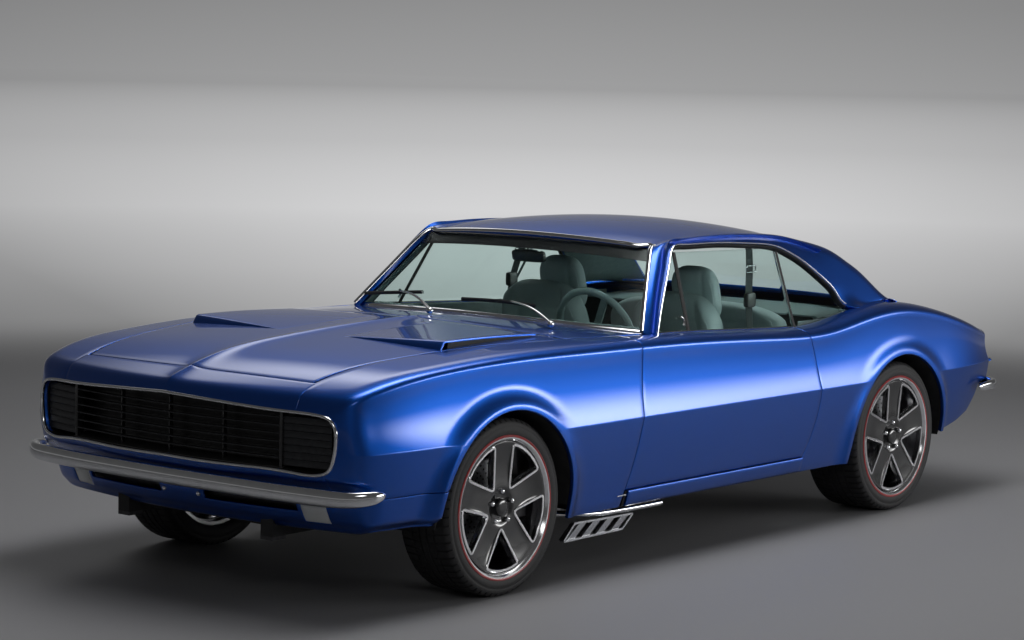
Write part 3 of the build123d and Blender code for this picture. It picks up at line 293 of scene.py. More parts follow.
def side_y(x, z):
    """Half width of the side at height z: full below the crease, hollow above, with arch lips."""
    low, crease, side = COLUMN["y_low"](x), COLUMN["y_crease"](x), COLUMN["y_side"](x)
    u = np.clip((z - SILL_Z) / (CREASE_Z - SILL_Z), 0, 1)
    w = np.clip((z - CREASE_Z) / (COLUMN["z_side"](x) - CREASE_Z), 0, 1)
    below = low + (crease - low) * u + 4 * LOW_BULGE * u * (1 - u)
    above = crease + (side - crease) * w - 4 * SIDE_HOLLOW * w * (1 - w)
    y = np.where(z < CREASE_Z, below, above)
    for centre, lip in ARCHES:
        r = np.where(z < ARCH_Z, np.abs(x - centre), np.hypot(x - centre, z - ARCH_Z)) - ARCH_R
        reach = np.clip(1 - (r - LIP_W) / LIP_BLEND, 0, 1) ** 2.2
        target = lip - LIP_FALL * ((z - CREASE_Z) / (CREASE_Z - ARCH_Z)) ** 2
        y = y + np.maximum(target - y, 0) * np.where(r < LIP_W, 1, reach)
    return y


def shoulder(x, s):
    """Round from the side, s = 0, to the edge of the top, s = 1."""
    y0, z0 = COLUMN["y_side"](x), COLUMN["z_side"](x)
    y3, z3 = COLUMN["y_edge"](x), COLUMN["z_edge"](x)
    rise = 2 * (COLUMN["z_mid"](x) - z3) / y3
    y1, z1 = y0, z0 + SHOULDER_PULL * (z3 - z0)
    y2 = y3 + SHOULDER_PULL * (y0 - y3)
    z2 = z3 - rise * (y2 - y3)
    a, b, c, d = cubic_weights(s)
    return a * y0 + b * y1 + c * y2 + d * y3, a * z0 + b * z1 + c * z2 + d * z3


def top_z(x, y):
    """Height of the top between the edges, with the peak along the middle of the hood."""
    edge, z_edge, z_mid = COLUMN["y_edge"](x), COLUMN["z_edge"](x), COLUMN["z_mid"](x)
    peak = RIDGE_H * np.exp(-np.abs(y) / RIDGE_W) * ease((x - RIDGE_REAR_X) / RIDGE_RUN)
    return z_mid - (z_mid - z_edge) * (y / edge) ** 2 + peak


def panel_rows(x, z_low):
    """Heights of points up the side at stations x, from the bottom edge over the crease."""
    x = np.atleast_2d(x)
    z_low = np.broadcast_to(z_low, x.shape[-1:])
    s = np.append(np.linspace(0, 1, LOWER_ROWS)[:-1] ** 0.9, 0.985)[:, None]
    start = np.minimum(z_low, CREASE_Z)
    z_a = np.maximum(start + (CREASE_Z - start) * s, z_low)
    s = np.concatenate([[0, 0.02], np.linspace(0.07, 1, UPPER_ROWS)])[:, None]
    base = np.maximum(z_low, CREASE_Z)
    z_b = base + (COLUMN["z_side"](x[0]) - base) * s
    return np.concatenate([z_a, z_b])


def side_sheet(stations, z_low, y_top, shift, top=TOP_ROWS):
    """Sheet of the side as rows of points; shift moves stations with height, for slanted borders."""
    z = panel_rows(stations, z_low)
    x = np.broadcast_to(stations, z.shape) + shift(z)
    rows = [np.stack([x, side_y(x, z), z], -1)]
    x_top = x[-1]
    for s in np.linspace(0, 1, BEND_ROWS + 1)[1:]:
        x_top = stations + shift(shoulder(x_top, s)[1][None])[0]
        y, z_s = shoulder(x_top, s)
        rows.append(np.stack([x_top, y, z_s], -1)[None])
    edge = COLUMN["y_edge"](x_top)
    for s in np.linspace(0, 1, top + 1)[1:]:
        y = edge + (y_top - edge) * s
        rows.append(np.stack([x_top, y, top_z(x_top, y)], -1)[None])
    return np.concatenate(rows)


# Small tools for meshes
def grid_faces(rows, columns, start=0):
    i = np.arange(rows - 1)[:, None] * columns + np.arange(columns - 1) + start
    return np.stack([i, i + 1, i + columns + 1, i + columns], -1).reshape(-1, 4).tolist()


def weld(points, faces, near=0.02):
    """Joins points that coincide and drops the faces that this closes up."""
    keys = np.round(np.asarray(points) / near).astype(np.int64)
    _, first, inverse = np.unique(keys, axis=0, return_index=True, return_inverse=True)
    inverse = inverse.reshape(-1)
    kept = []
    for face in faces:
        ring = []
        for v in face:
            w = int(inverse[v])
            if not ring or ring[-1] != w:
                ring.append(w)
        if len(ring) > 1 and ring[0] == ring[-1]:
            ring.pop()
        if len(ring) > 2 and len(set(ring)) == len(ring):
            kept.append(ring)
    return np.asarray(points, float)[first], kept


def sheet_mesh(*sheets, skip=None):
    """One open mesh from grids of points that share borders; skip leaves out cells."""
    points, faces = [], []
    count = 0
    for sheet in sheets:
        rows, columns = sheet.shape[:2]
        cells = grid_faces(rows, columns, count)
        if skip is not None:
            cells = [c for i, c in enumerate(cells) if not skip(i // (columns - 1), i % (columns - 1))]
        faces += cells
        points.append(sheet.reshape(-1, 3))
        count += rows * columns
    return weld(np.concatenate(points), faces)


def vertex_normals(points, faces):
    normals = np.zeros_like(points)
    for face in faces:
        p = points[face]
        n = np.zeros(3)
        for i in range(1, len(face) - 1):
            n += np.cross(p[i] - p[0], p[i + 1] - p[0])
        normals[face] += n
    return normals / np.maximum(np.linalg.norm(normals, axis=1, keepdims=True), 1e-9)


def shell(points, faces, depth=SKIN, roll=ROLL, inner=None):
    """Closed panel from an open sheet: its border is rolled over and its inner face lies at depth."""
    normals = vertex_normals(points, faces)
    directed = {step: None for face in faces for step in zip(face, face[1:] + face[:1])}
    border = [(a, b) for a, b in directed if (b, a) not in directed]
    out = np.zeros_like(points)
    sides = {}
    for a, b in border:
        along = points[b] - points[a]
        along = along / max(np.linalg.norm(along), 1e-9)
        for v in (a, b):
            o = np.cross(along, normals[v])
            sides.setdefault(v, []).append(o / max(np.linalg.norm(o), 1e-9))
    for v, ways in sides.items():
        o = np.sum(ways, 0)
        o = o / max(np.linalg.norm(o), 1e-9)
        out[v] = o / max(0.6, float(np.dot(o, ways[0])))
    edge = sorted(sides)
    place = {v: i for i, v in enumerate(edge)}
    rings = []
    for angle in np.radians(ROLL_STEPS):
        rings.append(points[edge] + out[edge] * roll * math.sin(angle)
                     - normals[edge] * roll * (1 - math.cos(angle)))
    back = points - normals * depth if inner is None else inner(points, normals)
    back[edge] = back[edge] + out[edge] * roll
    n = len(points)
    m = len(edge)
    everything = np.concatenate([points] + rings + [back])
    faces_all = [list(f) for f in faces]
    starts = [n + k * m for k in range(len(rings))]
    base = n + m * len(rings)
    for a, b in border:
        low = (a, b)
        for start in starts:
            high = (start + place[a], start + place[b])
            faces_all.append([low[1], low[0], high[0], high[1]])
            low = high
        faces_all.append([low[1], low[0], base + a, base + b])
    faces_all += [[base + v for v in reversed(f)] for f in faces]
    return everything, faces_all


def skin(rows, depth=SKIN, roll=ROLL):
    """Closed panel from rows of points."""
    return shell(*sheet_mesh(np.stack(rows)), depth=depth, roll=roll)


def sweep(path, profile, up=(0, 0, 1), closed=False, scale=None):
    """Tube along a path: profile points are (across, up) in the frame that up keeps level."""
    path = np.asarray(path, float)
    n = len(path)
    if closed:
        along = np.roll(path, -1, 0) - np.roll(path, 1, 0)
    else:
        along = np.gradient(path, axis=0)
    along = unit(along)
    up = np.broadcast_to(np.asarray(up, float), path.shape)
    across = unit(np.cross(along, up))
    lift = np.cross(across, along)
    profile = np.asarray(profile, float)
    k = len(profile)
    size = np.ones(n) if scale is None else np.asarray(scale, float)
    wide = across[:, None] * profile[None, :, :1] * size[:, None, None]
    high = lift[:, None] * profile[None, :, 1:] * size[:, None, None]
    points = path[:, None] + wide + high
    faces = []
    for i in range(n if closed else n - 1):
        j = (i + 1) % n
        for a in range(k):
            b = (a + 1) % k
            faces.append([i * k + a, i * k + b, j * k + b, j * k + a])
    if not closed:
        faces.append(list(range(k))[::-1])
        faces.append([(n - 1) * k + a for a in range(k)])
    return points.reshape(-1, 3), faces


def lathe(profile, x, z, segments):
    """Closed ring of (radius, y) profile points turned about the wheel axis at (x, z)."""
    profile = np.asarray(profile, float)
    k = len(profile)
    angle = np.linspace(0, 2 * np.pi, segments, endpoint=False)
    r = profile[None, :, 0]
    points = dots(x + r * np.cos(angle)[:, None], profile[None, :, 1], z + r * np.sin(angle)[:, None])
    faces = []
    for i in range(segments):
        j = (i + 1) % segments
        for a in range(k):
            b = (a + 1) % k
            faces.append([i * k + a, i * k + b, j * k + b, j * k + a])
    return points.reshape(-1, 3), faces


def turned(section, face, x, z, segments):
    """Ring turned from a section of radii and distances in from a face."""
    return lathe([(r, face - set_in) for r, set_in in section], x, z, segments)


def rounded_box(half, power, n):
    """Closed soft block of the given half sizes: a cube grid drawn out to a rounded form."""
    t = np.tan(np.linspace(-np.pi / 4, np.pi / 4, n))
    points, faces = [], []
    for axis in range(3):
        for sign in (-1, 1):
            u, v = np.meshgrid(t, t, indexing="ij")
            p = np.zeros((n, n, 3))
            p[..., axis] = sign
            p[..., (axis + 1) % 3] = u
            p[..., (axis + 2) % 3] = v * sign
            faces += grid_faces(n, n, sum(len(q) for q in points))
            points.append(p.reshape(-1, 3))
    p = np.concatenate(points)
    p = p / (np.sum(np.abs(p) ** power, 1, keepdims=True) ** (1 / power))
    p, faces = weld(p, faces, 1e-4)
    return p * np.asarray(half, float), faces


def box_mesh(lo, hi, power, n):
    lo, hi = np.asarray(lo, float), np.asarray(hi, float)
    p, f = rounded_box((hi - lo) / 2, power, n)
    return p + (lo + hi) / 2, f


def join(*meshes):
    points, faces = [], []
    count = 0
    for p, f in meshes:
        faces += [[v + count for v in face] for face in f]
        points.append(np.asarray(p, float))
        count += len(p)
    return np.concatenate(points), faces


def mirrored(mesh):
    p, f = mesh
    return np.asarray(p) * (1, -1, 1), [face[::-1] for face in f]


def turned_out(mesh):
    """The same closed mesh with its faces turned outwards."""
    points, faces = mesh
    bm = bmesh.new()
    verts = [bm.verts.new(p) for p in points]
    for f in faces:
        bm.faces.new([verts[v] for v in f])
    bmesh.ops.recalc_face_normals(bm, faces=bm.faces)
    bm.verts.index_update()
    out = [[v.index for v in f.verts] for f in bm.faces]
    bm.free()
    return points, out


# Materials
def shader(name):
    material = bpy.data.materials.new(name)
    material.use_nodes = True
    nodes = material.node_tree.nodes
    return material, nodes, material.node_tree.links, nodes["Principled BSDF"]


def grain(nodes, links, scale, kind="ShaderNodeTexNoise"):
    place = nodes.new("ShaderNodeTexCoord")
    texture = nodes.new(kind)
    texture.inputs["Scale"].default_value = scale
    if "Detail" in texture.inputs:
        texture.inputs["Detail"].default_value = 3.0
    links.new(place.outputs["Object"], texture.inputs["Vector"])
    return texture


def ramp(nodes, links, source, low, high, start=0.3, end=0.7):
    node = nodes.new("ShaderNodeValToRGB")
    node.color_ramp.elements[0].position = start
    node.color_ramp.elements[1].position = end
    node.color_ramp.elements[0].color = (*low, 1)
    node.color_ramp.elements[1].color = (*high, 1)
    links.new(source, node.inputs["Fac"])
    return node.outputs["Color"]


def combined(nodes, links, operation, first, second, clamp=False):
    """Two values joined by a maths node."""
    node = nodes.new("ShaderNodeMath")
    node.operation = operation
    node.use_clamp = clamp
    links.new(first, node.inputs[0])
    links.new(second, node.inputs[1])
    return node.outputs[0]


def bump(nodes, links, source, height, bsdf, strength=1.0):
    node = nodes.new("ShaderNodeBump")
    node.inputs["Distance"].default_value = height
    node.inputs["Strength"].default_value = strength
    links.new(source, node.inputs["Height"])
    links.new(node.outputs["Normal"], bsdf.inputs["Normal"])


def paint_blue():
    material, nodes, links, bsdf = shader("paint_blue")
    flakes = grain(nodes, links, 2600, kind="ShaderNodeTexVoronoi")
    dark, bright = (0.002, 0.040, 0.25), (0.006, 0.085, 0.45)
    links.new(ramp(nodes, links, flakes.outputs["Color"], dark, bright, 0.2, 0.8),
              bsdf.inputs["Base Color"])
    bsdf.inputs["Metallic"].default_value = 1.0
    bsdf.inputs["Roughness"].default_value = 0.4
    bsdf.inputs["Coat Weight"].default_value = 1.0
    bsdf.inputs["Coat Roughness"].default_value = 0.02
    bsdf.inputs["Coat IOR"].default_value = 1.4
    return material


def plain(name, low, high, rough, metallic, scale, height=0.0, coat=0.0, bump_scale=None):
    """Finish with its own grain: two shades of colour, two of gloss, and a fine bump."""
    material, nodes, links, bsdf = shader(name)
    noise = grain(nodes, links, scale)
    links.new(ramp(nodes, links, noise.outputs["Fac"], low, high), bsdf.inputs["Base Color"])
    spread = nodes.new("ShaderNodeMapRange")
    spread.inputs["To Min"].default_value = rough[0]
    spread.inputs["To Max"].default_value = rough[1]
    links.new(noise.outputs["Fac"], spread.inputs["Value"])
    links.new(spread.outputs["Result"], bsdf.inputs["Roughness"])
    bsdf.inputs["Metallic"].default_value = metallic
    bsdf.inputs["Coat Weight"].default_value = coat
    if height:
        fine = grain(nodes, links, bump_scale or scale * 6)
        bump(nodes, links, fine.outputs["Fac"], height, bsdf)
    return material


def leather_grey():
    material, nodes, links, bsdf = shader("leather_grey")
    shade = grain(nodes, links, 9)
    links.new(ramp(nodes, links, shade.outputs["Fac"], (0.36, 0.44, 0.45), (0.44, 0.52, 0.53)),
              bsdf.inputs["Base Color"])
    bsdf.inputs["Roughness"].default_value = 0.48
    pores = grain(nodes, links, 520, kind="ShaderNodeTexVoronoi")
    bump(nodes, links, pores.outputs["Distance"], 0.0004, bsdf, 0.6)
    return material


def clear_glass(name, tint):
    """Clear pane that lets lamp light through to what is behind it."""
    material, nodes, links, bsdf = shader(name)
    noise = grain(nodes, links, 3)
    links.new(ramp(nodes, links, noise.outputs["Fac"], tint, tuple(min(1, c * 1.03) for c in tint)),
              bsdf.inputs["Base Color"])
    bsdf.inputs["Transmission Weight"].default_value = 1.0
    bsdf.inputs["Roughness"].default_value = 0.0
    bsdf.inputs["IOR"].default_value = 1.12
    path = nodes.new("ShaderNodeLightPath")
    open_way = nodes.new("ShaderNodeBsdfTransparent")
    open_way.inputs["Color"].default_value = (*tint, 1)
    mix = nodes.new("ShaderNodeMixShader")
    links.new(path.outputs["Is Shadow Ray"], mix.inputs["Fac"])
    links.new(bsdf.outputs["BSDF"], mix.inputs[1])
    links.new(open_way.outputs["BSDF"], mix.inputs[2])
    links.new(mix.outputs["Shader"], nodes["Material Output"].inputs["Surface"])
    return material


def lens(name, tint):
    material, nodes, links, bsdf = shader(name)
    ribs = grain(nodes, links, 240, kind="ShaderNodeTexVoronoi")
    links.new(ramp(nodes, links, ribs.outputs["Distance"], tint, tuple(min(1, c * 1.25) for c in tint)),
              bsdf.inputs["Base Color"])
    bsdf.inputs["Roughness"].default_value = 0.08
    bsdf.inputs["Coat Weight"].default_value = 1.0
    bump(nodes, links, ribs.outputs["Distance"], 0.001, bsdf, 0.5)
    return material


PAINT = paint_blue()
CHROME = plain("chrome_bright", (0.80, 0.81, 0.83), (0.88, 0.89, 0.90), (0.03, 0.07), 1.0, 30)
POLISHED = plain("alloy_polished", (0.78, 0.78, 0.80), (0.90, 0.90, 0.91), (0.10, 0.18), 1.0, 80)
BLACK = plain("satin_black", (0.010, 0.010, 0.011), (0.020, 0.020, 0.021), (0.30, 0.42), 0.0, 70,
              0.0002)
GLOSS_BLACK = plain("spoke_black", (0.008, 0.008, 0.009), (0.014, 0.014, 0.015), (0.18, 0.25), 0.0, 50,
                    coat=0.8)
SEAL = plain("rubber_seal", (0.012, 0.012, 0.012), (0.02, 0.02, 0.02), (0.55, 0.7), 0.0, 90)
RUBBER = plain("tyre_rubber", (0.014, 0.014, 0.015), (0.026, 0.026, 0.027), (0.55, 0.72), 0.0, 140,
               0.0003)
RED_LINE = plain("rim_red", (0.34, 0.006, 0.008), (0.40, 0.010, 0.012), (0.25, 0.35), 0.0, 40, coat=0.6)
STEEL = plain("bare_steel", (0.42, 0.43, 0.45), (0.55, 0.56, 0.58), (0.22, 0.38), 1.0, 120, 0.0001)
IRON = plain("cast_iron", (0.045, 0.045, 0.048), (0.085, 0.085, 0.09), (0.55, 0.7), 0.4, 60, 0.0006)
UNDER = plain("under_coat", (0.012, 0.012, 0.013), (0.025, 0.025, 0.026), (0.6, 0.8), 0.0, 35, 0.0008)
TRIM = plain("trim_grey_green", (0.11, 0.145, 0.15), (0.14, 0.18, 0.185), (0.5, 0.62), 0.0, 50, 0.0003,
             bump_scale=700)
CARPET = plain("carpet_grey", (0.03, 0.036, 0.038), (0.06, 0.068, 0.07), (0.85, 0.95), 0.0, 400, 0.002,
               bump_scale=900)
LEATHER = leather_grey()
LAMP_DOOR = plain("lamp_door_grey", (0.035, 0.036, 0.04), (0.05, 0.052, 0.056), (0.28, 0.36), 0.6, 60,
                  0.0001)
POLISHED_DARK = plain("sill_grey", (0.16, 0.16, 0.165), (0.22, 0.22, 0.225), (0.25, 0.35), 0.9, 60)
GLASS = clear_glass("window_glass", (0.80, 0.90, 0.88))
LENS_CLEAR = lens("lamp_lens_clear", (0.62, 0.64, 0.63))
LENS_RED = lens("lamp_lens_red", (0.30, 0.006, 0.008))

# Finishes of the construction pieces that stay as they are
KEPT = {"floor_pan": UNDER, "wheelhouses_front": UNDER, "wheelhouses_rear": UNDER,
        "front_frame": UNDER, "tow_eyes": IRON, "engine_block": IRON, "driveline": STEEL,
        "fuel_tank": STEEL, "rear_axle": IRON, "knuckle_left": IRON, "knuckle_right": IRON,
        "steering_wheel": TRIM}
for node in frame["nodes"].values():
    material = KEPT.get(node.name)
    if material is None and node.name.startswith("disc_"):
        material = STEEL
    if material is not None:
        node.data.materials.clear()
        node.data.materials.append(material)


# Pieces of the car
def piece(name, mesh, material, body="body", slot=None, stands_for=(), smooth=SHARP, outward=False):
    """Blender object of a mesh in millimetres, riding on a body of the frame."""
    points, faces = mesh
    data = bpy.data.meshes.new(name)
    data.from_pydata((np.asarray(points) * MM).tolist(), [], [list(map(int, f)) for f in faces])
    if outward:
        bm = bmesh.new()
        bm.from_mesh(data)
        bmesh.ops.recalc_face_normals(bm, faces=bm.faces)
        bm.to_mesh(data)
        bm.free()
    data.shade_smooth()
    data.set_sharp_from_angle(angle=math.radians(smooth))
    obj = bpy.data.objects.new(name, data)
    bpy.context.collection.objects.link(obj)
    data.materials.append(material)
    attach(obj, body)
    if stands_for:
        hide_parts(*stands_for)
    return obj


def pair(name, mesh, material, slot, nodes=(), body="body", **more):
    """A left piece and its mirror image; nodes with {} take the side's name."""
    for side, form in (("left", mesh), ("right", mirrored(mesh))):
        rides = body.format(side)
        stands = tuple(n.format(side) for n in nodes)
        piece(f"{name}_{side}", form, material, rides, slot, stands, **more)


# Repeated pieces by geometry nodes
def copies_tree():
    """Copies of a piece's own mesh along a line of points, each turned further about the Y axis."""
    tree = bpy.data.node_groups.new("repeated_piece", "GeometryNodeTree")
    ports = tree.interface
    ports.new_socket("Geometry", in_out="OUTPUT", socket_type="NodeSocketGeometry")
    ports.new_socket("Seed", in_out="INPUT", socket_type="NodeSocketGeometry")
    for label, kind in (("Copies", "Int"), ("Start", "Vector"), ("Step", "Vector"), ("Turn", "Float"),
                        ("Finish", "Material")):
        ports.new_socket(label, in_out="INPUT", socket_type="NodeSocket" + kind)
    nodes, links = tree.nodes, tree.links
    given, result = nodes.new("NodeGroupInput"), nodes.new("NodeGroupOutput")
    points = nodes.new("GeometryNodeMeshLine")
    links.new(given.outputs["Copies"], points.inputs["Count"])
    links.new(given.outputs["Start"], points.inputs["Start Location"])
    links.new(given.outputs["Step"], points.inputs["Offset"])
    index = nodes.new("GeometryNodeInputIndex")
    angle = combined(nodes, links, "MULTIPLY", index.outputs["Index"], given.outputs["Turn"])
    turn = nodes.new("ShaderNodeCombineXYZ")
    links.new(angle, turn.inputs["Y"])
    copies = nodes.new("GeometryNodeInstanceOnPoints")
    links.new(points.outputs["Mesh"], copies.inputs["Points"])
    links.new(given.outputs["Seed"], copies.inputs["Instance"])
    links.new(turn.outputs[0], copies.inputs["Rotation"])
    real = nodes.new("GeometryNodeRealizeInstances")
    links.new(copies.outputs["Instances"], real.inputs["Geometry"])
    joined = nodes.new("GeometryNodeMergeByDistance")
    joined.inputs["Distance"].default_value = 0.00002
    links.new(real.outputs["Geometry"], joined.inputs["Geometry"])
    finish = nodes.new("GeometryNodeSetMaterial")
    links.new(joined.outputs["Geometry"], finish.inputs["Geometry"])
    links.new(given.outputs["Finish"], finish.inputs["Material"])
    links.new(finish.outputs["Geometry"], result.inputs["Geometry"])
    return tree


REPEAT = copies_tree()


def repeated(name, seed, count, start, step, turn, material, body, stands_for=()):
    """Plain mesh piece of count copies of a seed mesh, in millimetres and degrees."""
    points, faces = seed
    data = bpy.data.meshes.new(name + "_seed")
    data.from_pydata((np.asarray(points) * MM).tolist(), [], [list(map(int, f)) for f in faces])
    obj = bpy.data.objects.new(name, data)
    bpy.context.collection.objects.link(obj)
    modifier = obj.modifiers.new("repeat", "NODES")
    modifier.node_group = REPEAT
    values = {"Copies": count, "Start": [v * MM for v in start], "Step": [v * MM for v in step],
              "Turn": math.radians(turn), "Finish": material}
    for item in REPEAT.interface.items_tree:
        if item.in_out == "INPUT" and item.name in values:
            modifier[item.identifier] = values[item.name]
    mesh = bpy.data.meshes.new_from_object(obj.evaluated_get(bpy.context.evaluated_depsgraph_get()))
    obj.modifiers.clear()
    obj.data = mesh
    bpy.data.meshes.remove(data)
    mesh.name = name
    mesh.shade_smooth()
    mesh.set_sharp_from_angle(angle=math.radians(SHARP))
    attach(obj, body)
    if stands_for:
        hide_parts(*stands_for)
    return obj


def repeated_pair(name, seed, count, start, step, turn, material, body, slot, stands_for=()):
    for side, form, way in (("left", seed, 1), ("right", mirrored(seed), -1)):
        at = (start[0], start[1] * way, start[2])
        go = (step[0], step[1] * way, step[2])
        repeated(f"{name}_{side}", form, count, at, go, turn, material, body.format(side),
                 tuple(n.format(side) for n in stands_for))


# Side panels
def hood_half(x):
    xs, ys = zip(*HOOD_HALF)
    return np.interp(x, xs, ys)


def arch_stations(centre):
    angle = np.linspace(np.pi, 0, 46)
    return centre + ARCH_R * np.cos(angle)


def arch_low(x, centre):
    return ARCH_Z + np.sqrt(np.maximum(ARCH_R ** 2 - (x - centre) ** 2, 0))


NEAR_ARCH = np.array([0, 3, 7, 12, 18, 26, 36, 48, 62, 80, 102, 128])


def border_shift(curve, start, reach, way):
    """Moves stations near a slanted border: all of the slant at start, none at reach beyond it."""
    def shift(z, x):
        weight = 1 - ease(way * (x - start) / reach)
        return (curve(z) - curve(CREASE_Z)) * weight
    return shift


def doors():
    stations = np.linspace(0, 1, 64)
    front, rear = DOOR_FRONT[1][1], float(door_rear(CREASE_Z))
    x = front + (rear - front) * stations

    def shift(z):
        share = stations[None]
        return (door_front(z) - front) * (1 - share) + (door_rear(z) - rear) * share

    sheet = side_sheet(x, DOOR_LOW_Z, DOOR_TOP_Y, shift, top=3)
    points, faces = sheet_mesh(sheet)

    def inner(p, n):
        back = p.copy()
        back[:, 1] = np.minimum(p[:, 1] - DOOR_SKIN, DOOR_INNER_Y)
        back[:, 2] = p[:, 2] - DOOR_TOP_DROP * ease((p[:, 2] - 820) / 60)
        back[:, 2] = np.maximum(back[:, 2], DOOR_LOW_Z + 4)
        return back

    return shell(points, faces, inner=inner)


def fender():
    centre = ARCHES[0][0]
    gap_x = DOOR_FRONT[1][1] + GAP
    arch_rear, arch_front = centre - ARCH_R, centre + ARCH_R
    behind = np.concatenate([np.linspace(gap_x, arch_rear - 150, 14), arch_rear - NEAR_ARCH[:0:-1]])
    to_nose = np.linspace(arch_front + 160, NOSE_X - 190, 12)
    ahead = np.concatenate([arch_front + NEAR_ARCH[1:], to_nose])
    x = np.concatenate([behind, arch_stations(centre), ahead])
    low = np.where(np.abs(x - centre) <= ARCH_R + 1e-6, arch_low(x, centre), SILL_Z)
    low = np.where(x > centre, np.maximum(low, VALANCE_TOP_Z + GAP), low)
    cowl_half = np.interp(x, (COWL_REAR_X, HOOD_HALF[0][0]), (776, 734))
    y_top = np.where(x < HOOD_HALF[0][0], cowl_half, hood_half(x)) + GAP
    y_top = np.where(x > HOOD_HALF[-1][0], NOSE_HALF_Y, y_top)
    slant = border_shift(door_front, gap_x, 260, 1)
    side = side_sheet(x, low, y_top, lambda z: slant(z, x[None]))
    end = arch_front + 60
    limit = nose_x(side[:, -1, 1]) - nose_run(side[:, -1, 1])
    weight = np.clip((side[:, :, 0] - end) / (x[-1] - end), 0, 1)
    x2 = side[:, :, 0] + (limit[:, None] - x[-1]) * weight
    flat_rows = len(side) - BEND_ROWS - TOP_ROWS
    y2 = side[:, :, 1].copy()
    z2 = side[:, :, 2].copy()
    for r in range(len(side)):
        if r < flat_rows:
            y2[r] = side_y(x2[r], z2[r])
        elif r < flat_rows + BEND_ROWS:
            y2[r], z2[r] = shoulder(x2[r], (r - flat_rows + 1) / BEND_ROWS)
        else:
            z2[r] = top_z(x2[r], y2[r])
    moved = np.stack([x2, y2, z2], -1)
    side = np.where((side[:, :, 0] > end)[..., None], moved, side)
    way = unit(side[:, -1] - side[:, -2])
    tip = nose_round(side[:, -1], way)
    return sheet_mesh(np.concatenate([side, tip], 1)[:, ::-1])


def rocker():
    """Painted sill between fender and rear quarter, under the door."""
    x = np.linspace(652, -596, 61)
    rows = []
    for z, tuck in ROCKER_ROWS:
        y = np.maximum(side_y(x, z) + 3, 857.5 + 0.285 * (z - 251))
        rows.append(dots(x, y - tuck, z))
    return sheet_mesh(np.stack(rows))


# The grille mouth, as a half outline from the bottom middle to the top middle
MOUTH = ((0, 537), (320, 535), (580, 532), (696, 530), (736, 545), (758, 590), (766, 650),
         (762, 700), (742, 729), (704, 741), (580, 747), (300, 757), (0, 768))


def mouth_outline(n):
    flat = np.array([(0, y, z) for y, z in MOUTH], float)
    return line(flat, n)[:, 1:]


def mouth_rim(run):
    """Points on the path that the fender's front edge meets, beside the lip and round the mouth."""
    outline = mouth_outline(400)
    start = np.argmin(np.abs(outline[:, 0] - LIP_HALF_Y) + 10 * (outline[:, 1] > 600))
    stop = np.argmin(np.abs(outline[:, 0] - NOSE_HALF_Y) + 10 * (outline[:, 1] < 700))
    foot = [(LIP_HALF_Y, z) for z in np.linspace(LIP_LOW_Z, outline[start, 1] - 2, 20)]
    path = np.concatenate([foot, outline[start:stop + 1]])
    length = lengths(path)
    marks = []
    for y, z in ((LIP_HALF_Y, LIP_LOW_Z), (LIP_HALF_Y, outline[start, 1]), (763, 612), (746, 724),
                 (708, 740), (NOSE_HALF_Y, 746)):
        marks.append(length[np.argmin(np.hypot(path[:, 0] - y, path[:, 1] - z))])
    marks[-1] = length[-1]
    share = np.interp(run, np.arange(len(marks)), marks)
    return np.column_stack([np.interp(share, length, path[:, 0]), np.interp(share, length, path[:, 1])])


def nose_round(border, way):
    """Rounds a border of the side over the front corner and in to the grille mouth."""
    length = lengths(border[:, 1:])
    last = len(border) - 1
    bumper_row = int(np.argmin(np.abs(border[:LOWER_ROWS + 1, 2] - BUMPER_TOP_Z)))
    keys = [0, bumper_row, LOWER_ROWS, last - BEND_ROWS - TOP_ROWS, last - TOP_ROWS, last]
    run = np.interp(length, length[keys], np.arange(len(keys)))
    rim = mouth_rim(run)
    back = MOUTH_SET + LIP_TUCK * ease((MOUTH_LOW_Z - rim[:, 1]) / (MOUTH_LOW_Z - LIP_LOW_Z))
    goal = np.column_stack([nose_x(rim[:, 0]) - back, rim])
    out = unit(border[:, 1:] - rim)
    leave = np.column_stack([np.full(len(out), -NOSE_SLANT), out * math.sqrt(1 - NOSE_SLANT ** 2)])
    reach = 0.5 * np.linalg.norm(goal - border, axis=1, keepdims=True)
    return np.stack(bezier(border, border + way * reach, goal + leave * reach, goal, 14), 1)


def spread_share(n):
    """Shares from -1 to 1, closer together in the middle."""
    share = np.linspace(-1, 1, n)
    return np.sign(share) * np.abs(share) ** 1.25


def nose_header():
    """Panel between hood and grille mouth, rounding down to the mouth's edge."""
    y = spread_share(121) * (NOSE_HALF_Y - 0.8)
    rear = HOOD_FRONT_X + GAP - HOOD_BOW * (y / HOOD_HALF[-1][1]) ** 2
    front = np.maximum(nose_x(y) - nose_run(y), rear + 4)
    rows = []
    for s in np.linspace(0, 1, 5):
        x = rear + (front - rear) * s
        rows.append(dots(x, y, top_z(x, y)))
    outline = mouth_outline(400)
    top = outline[outline[:, 1] > 735]
    order = np.argsort(top[:, 0])
    z_mouth = np.interp(np.abs(y), top[order, 0], top[order, 1])
    edge = rows[-1]
    fall = (top_z(front + 5, y) - top_z(front, y)) / 5
    goal = dots(nose_x(y) - MOUTH_SET, y, z_mouth)
    reach = 0.52 * np.linalg.norm(goal - edge, axis=1, keepdims=True)
    way = dots(1, 0, fall)
    leave = np.array((-NOSE_SLANT, 0, math.sqrt(1 - NOSE_SLANT ** 2)))
    rows += bezier(edge, edge + way * reach, goal + leave * reach, goal, 16)
    return sheet_mesh(np.stack(rows)[:, ::-1])


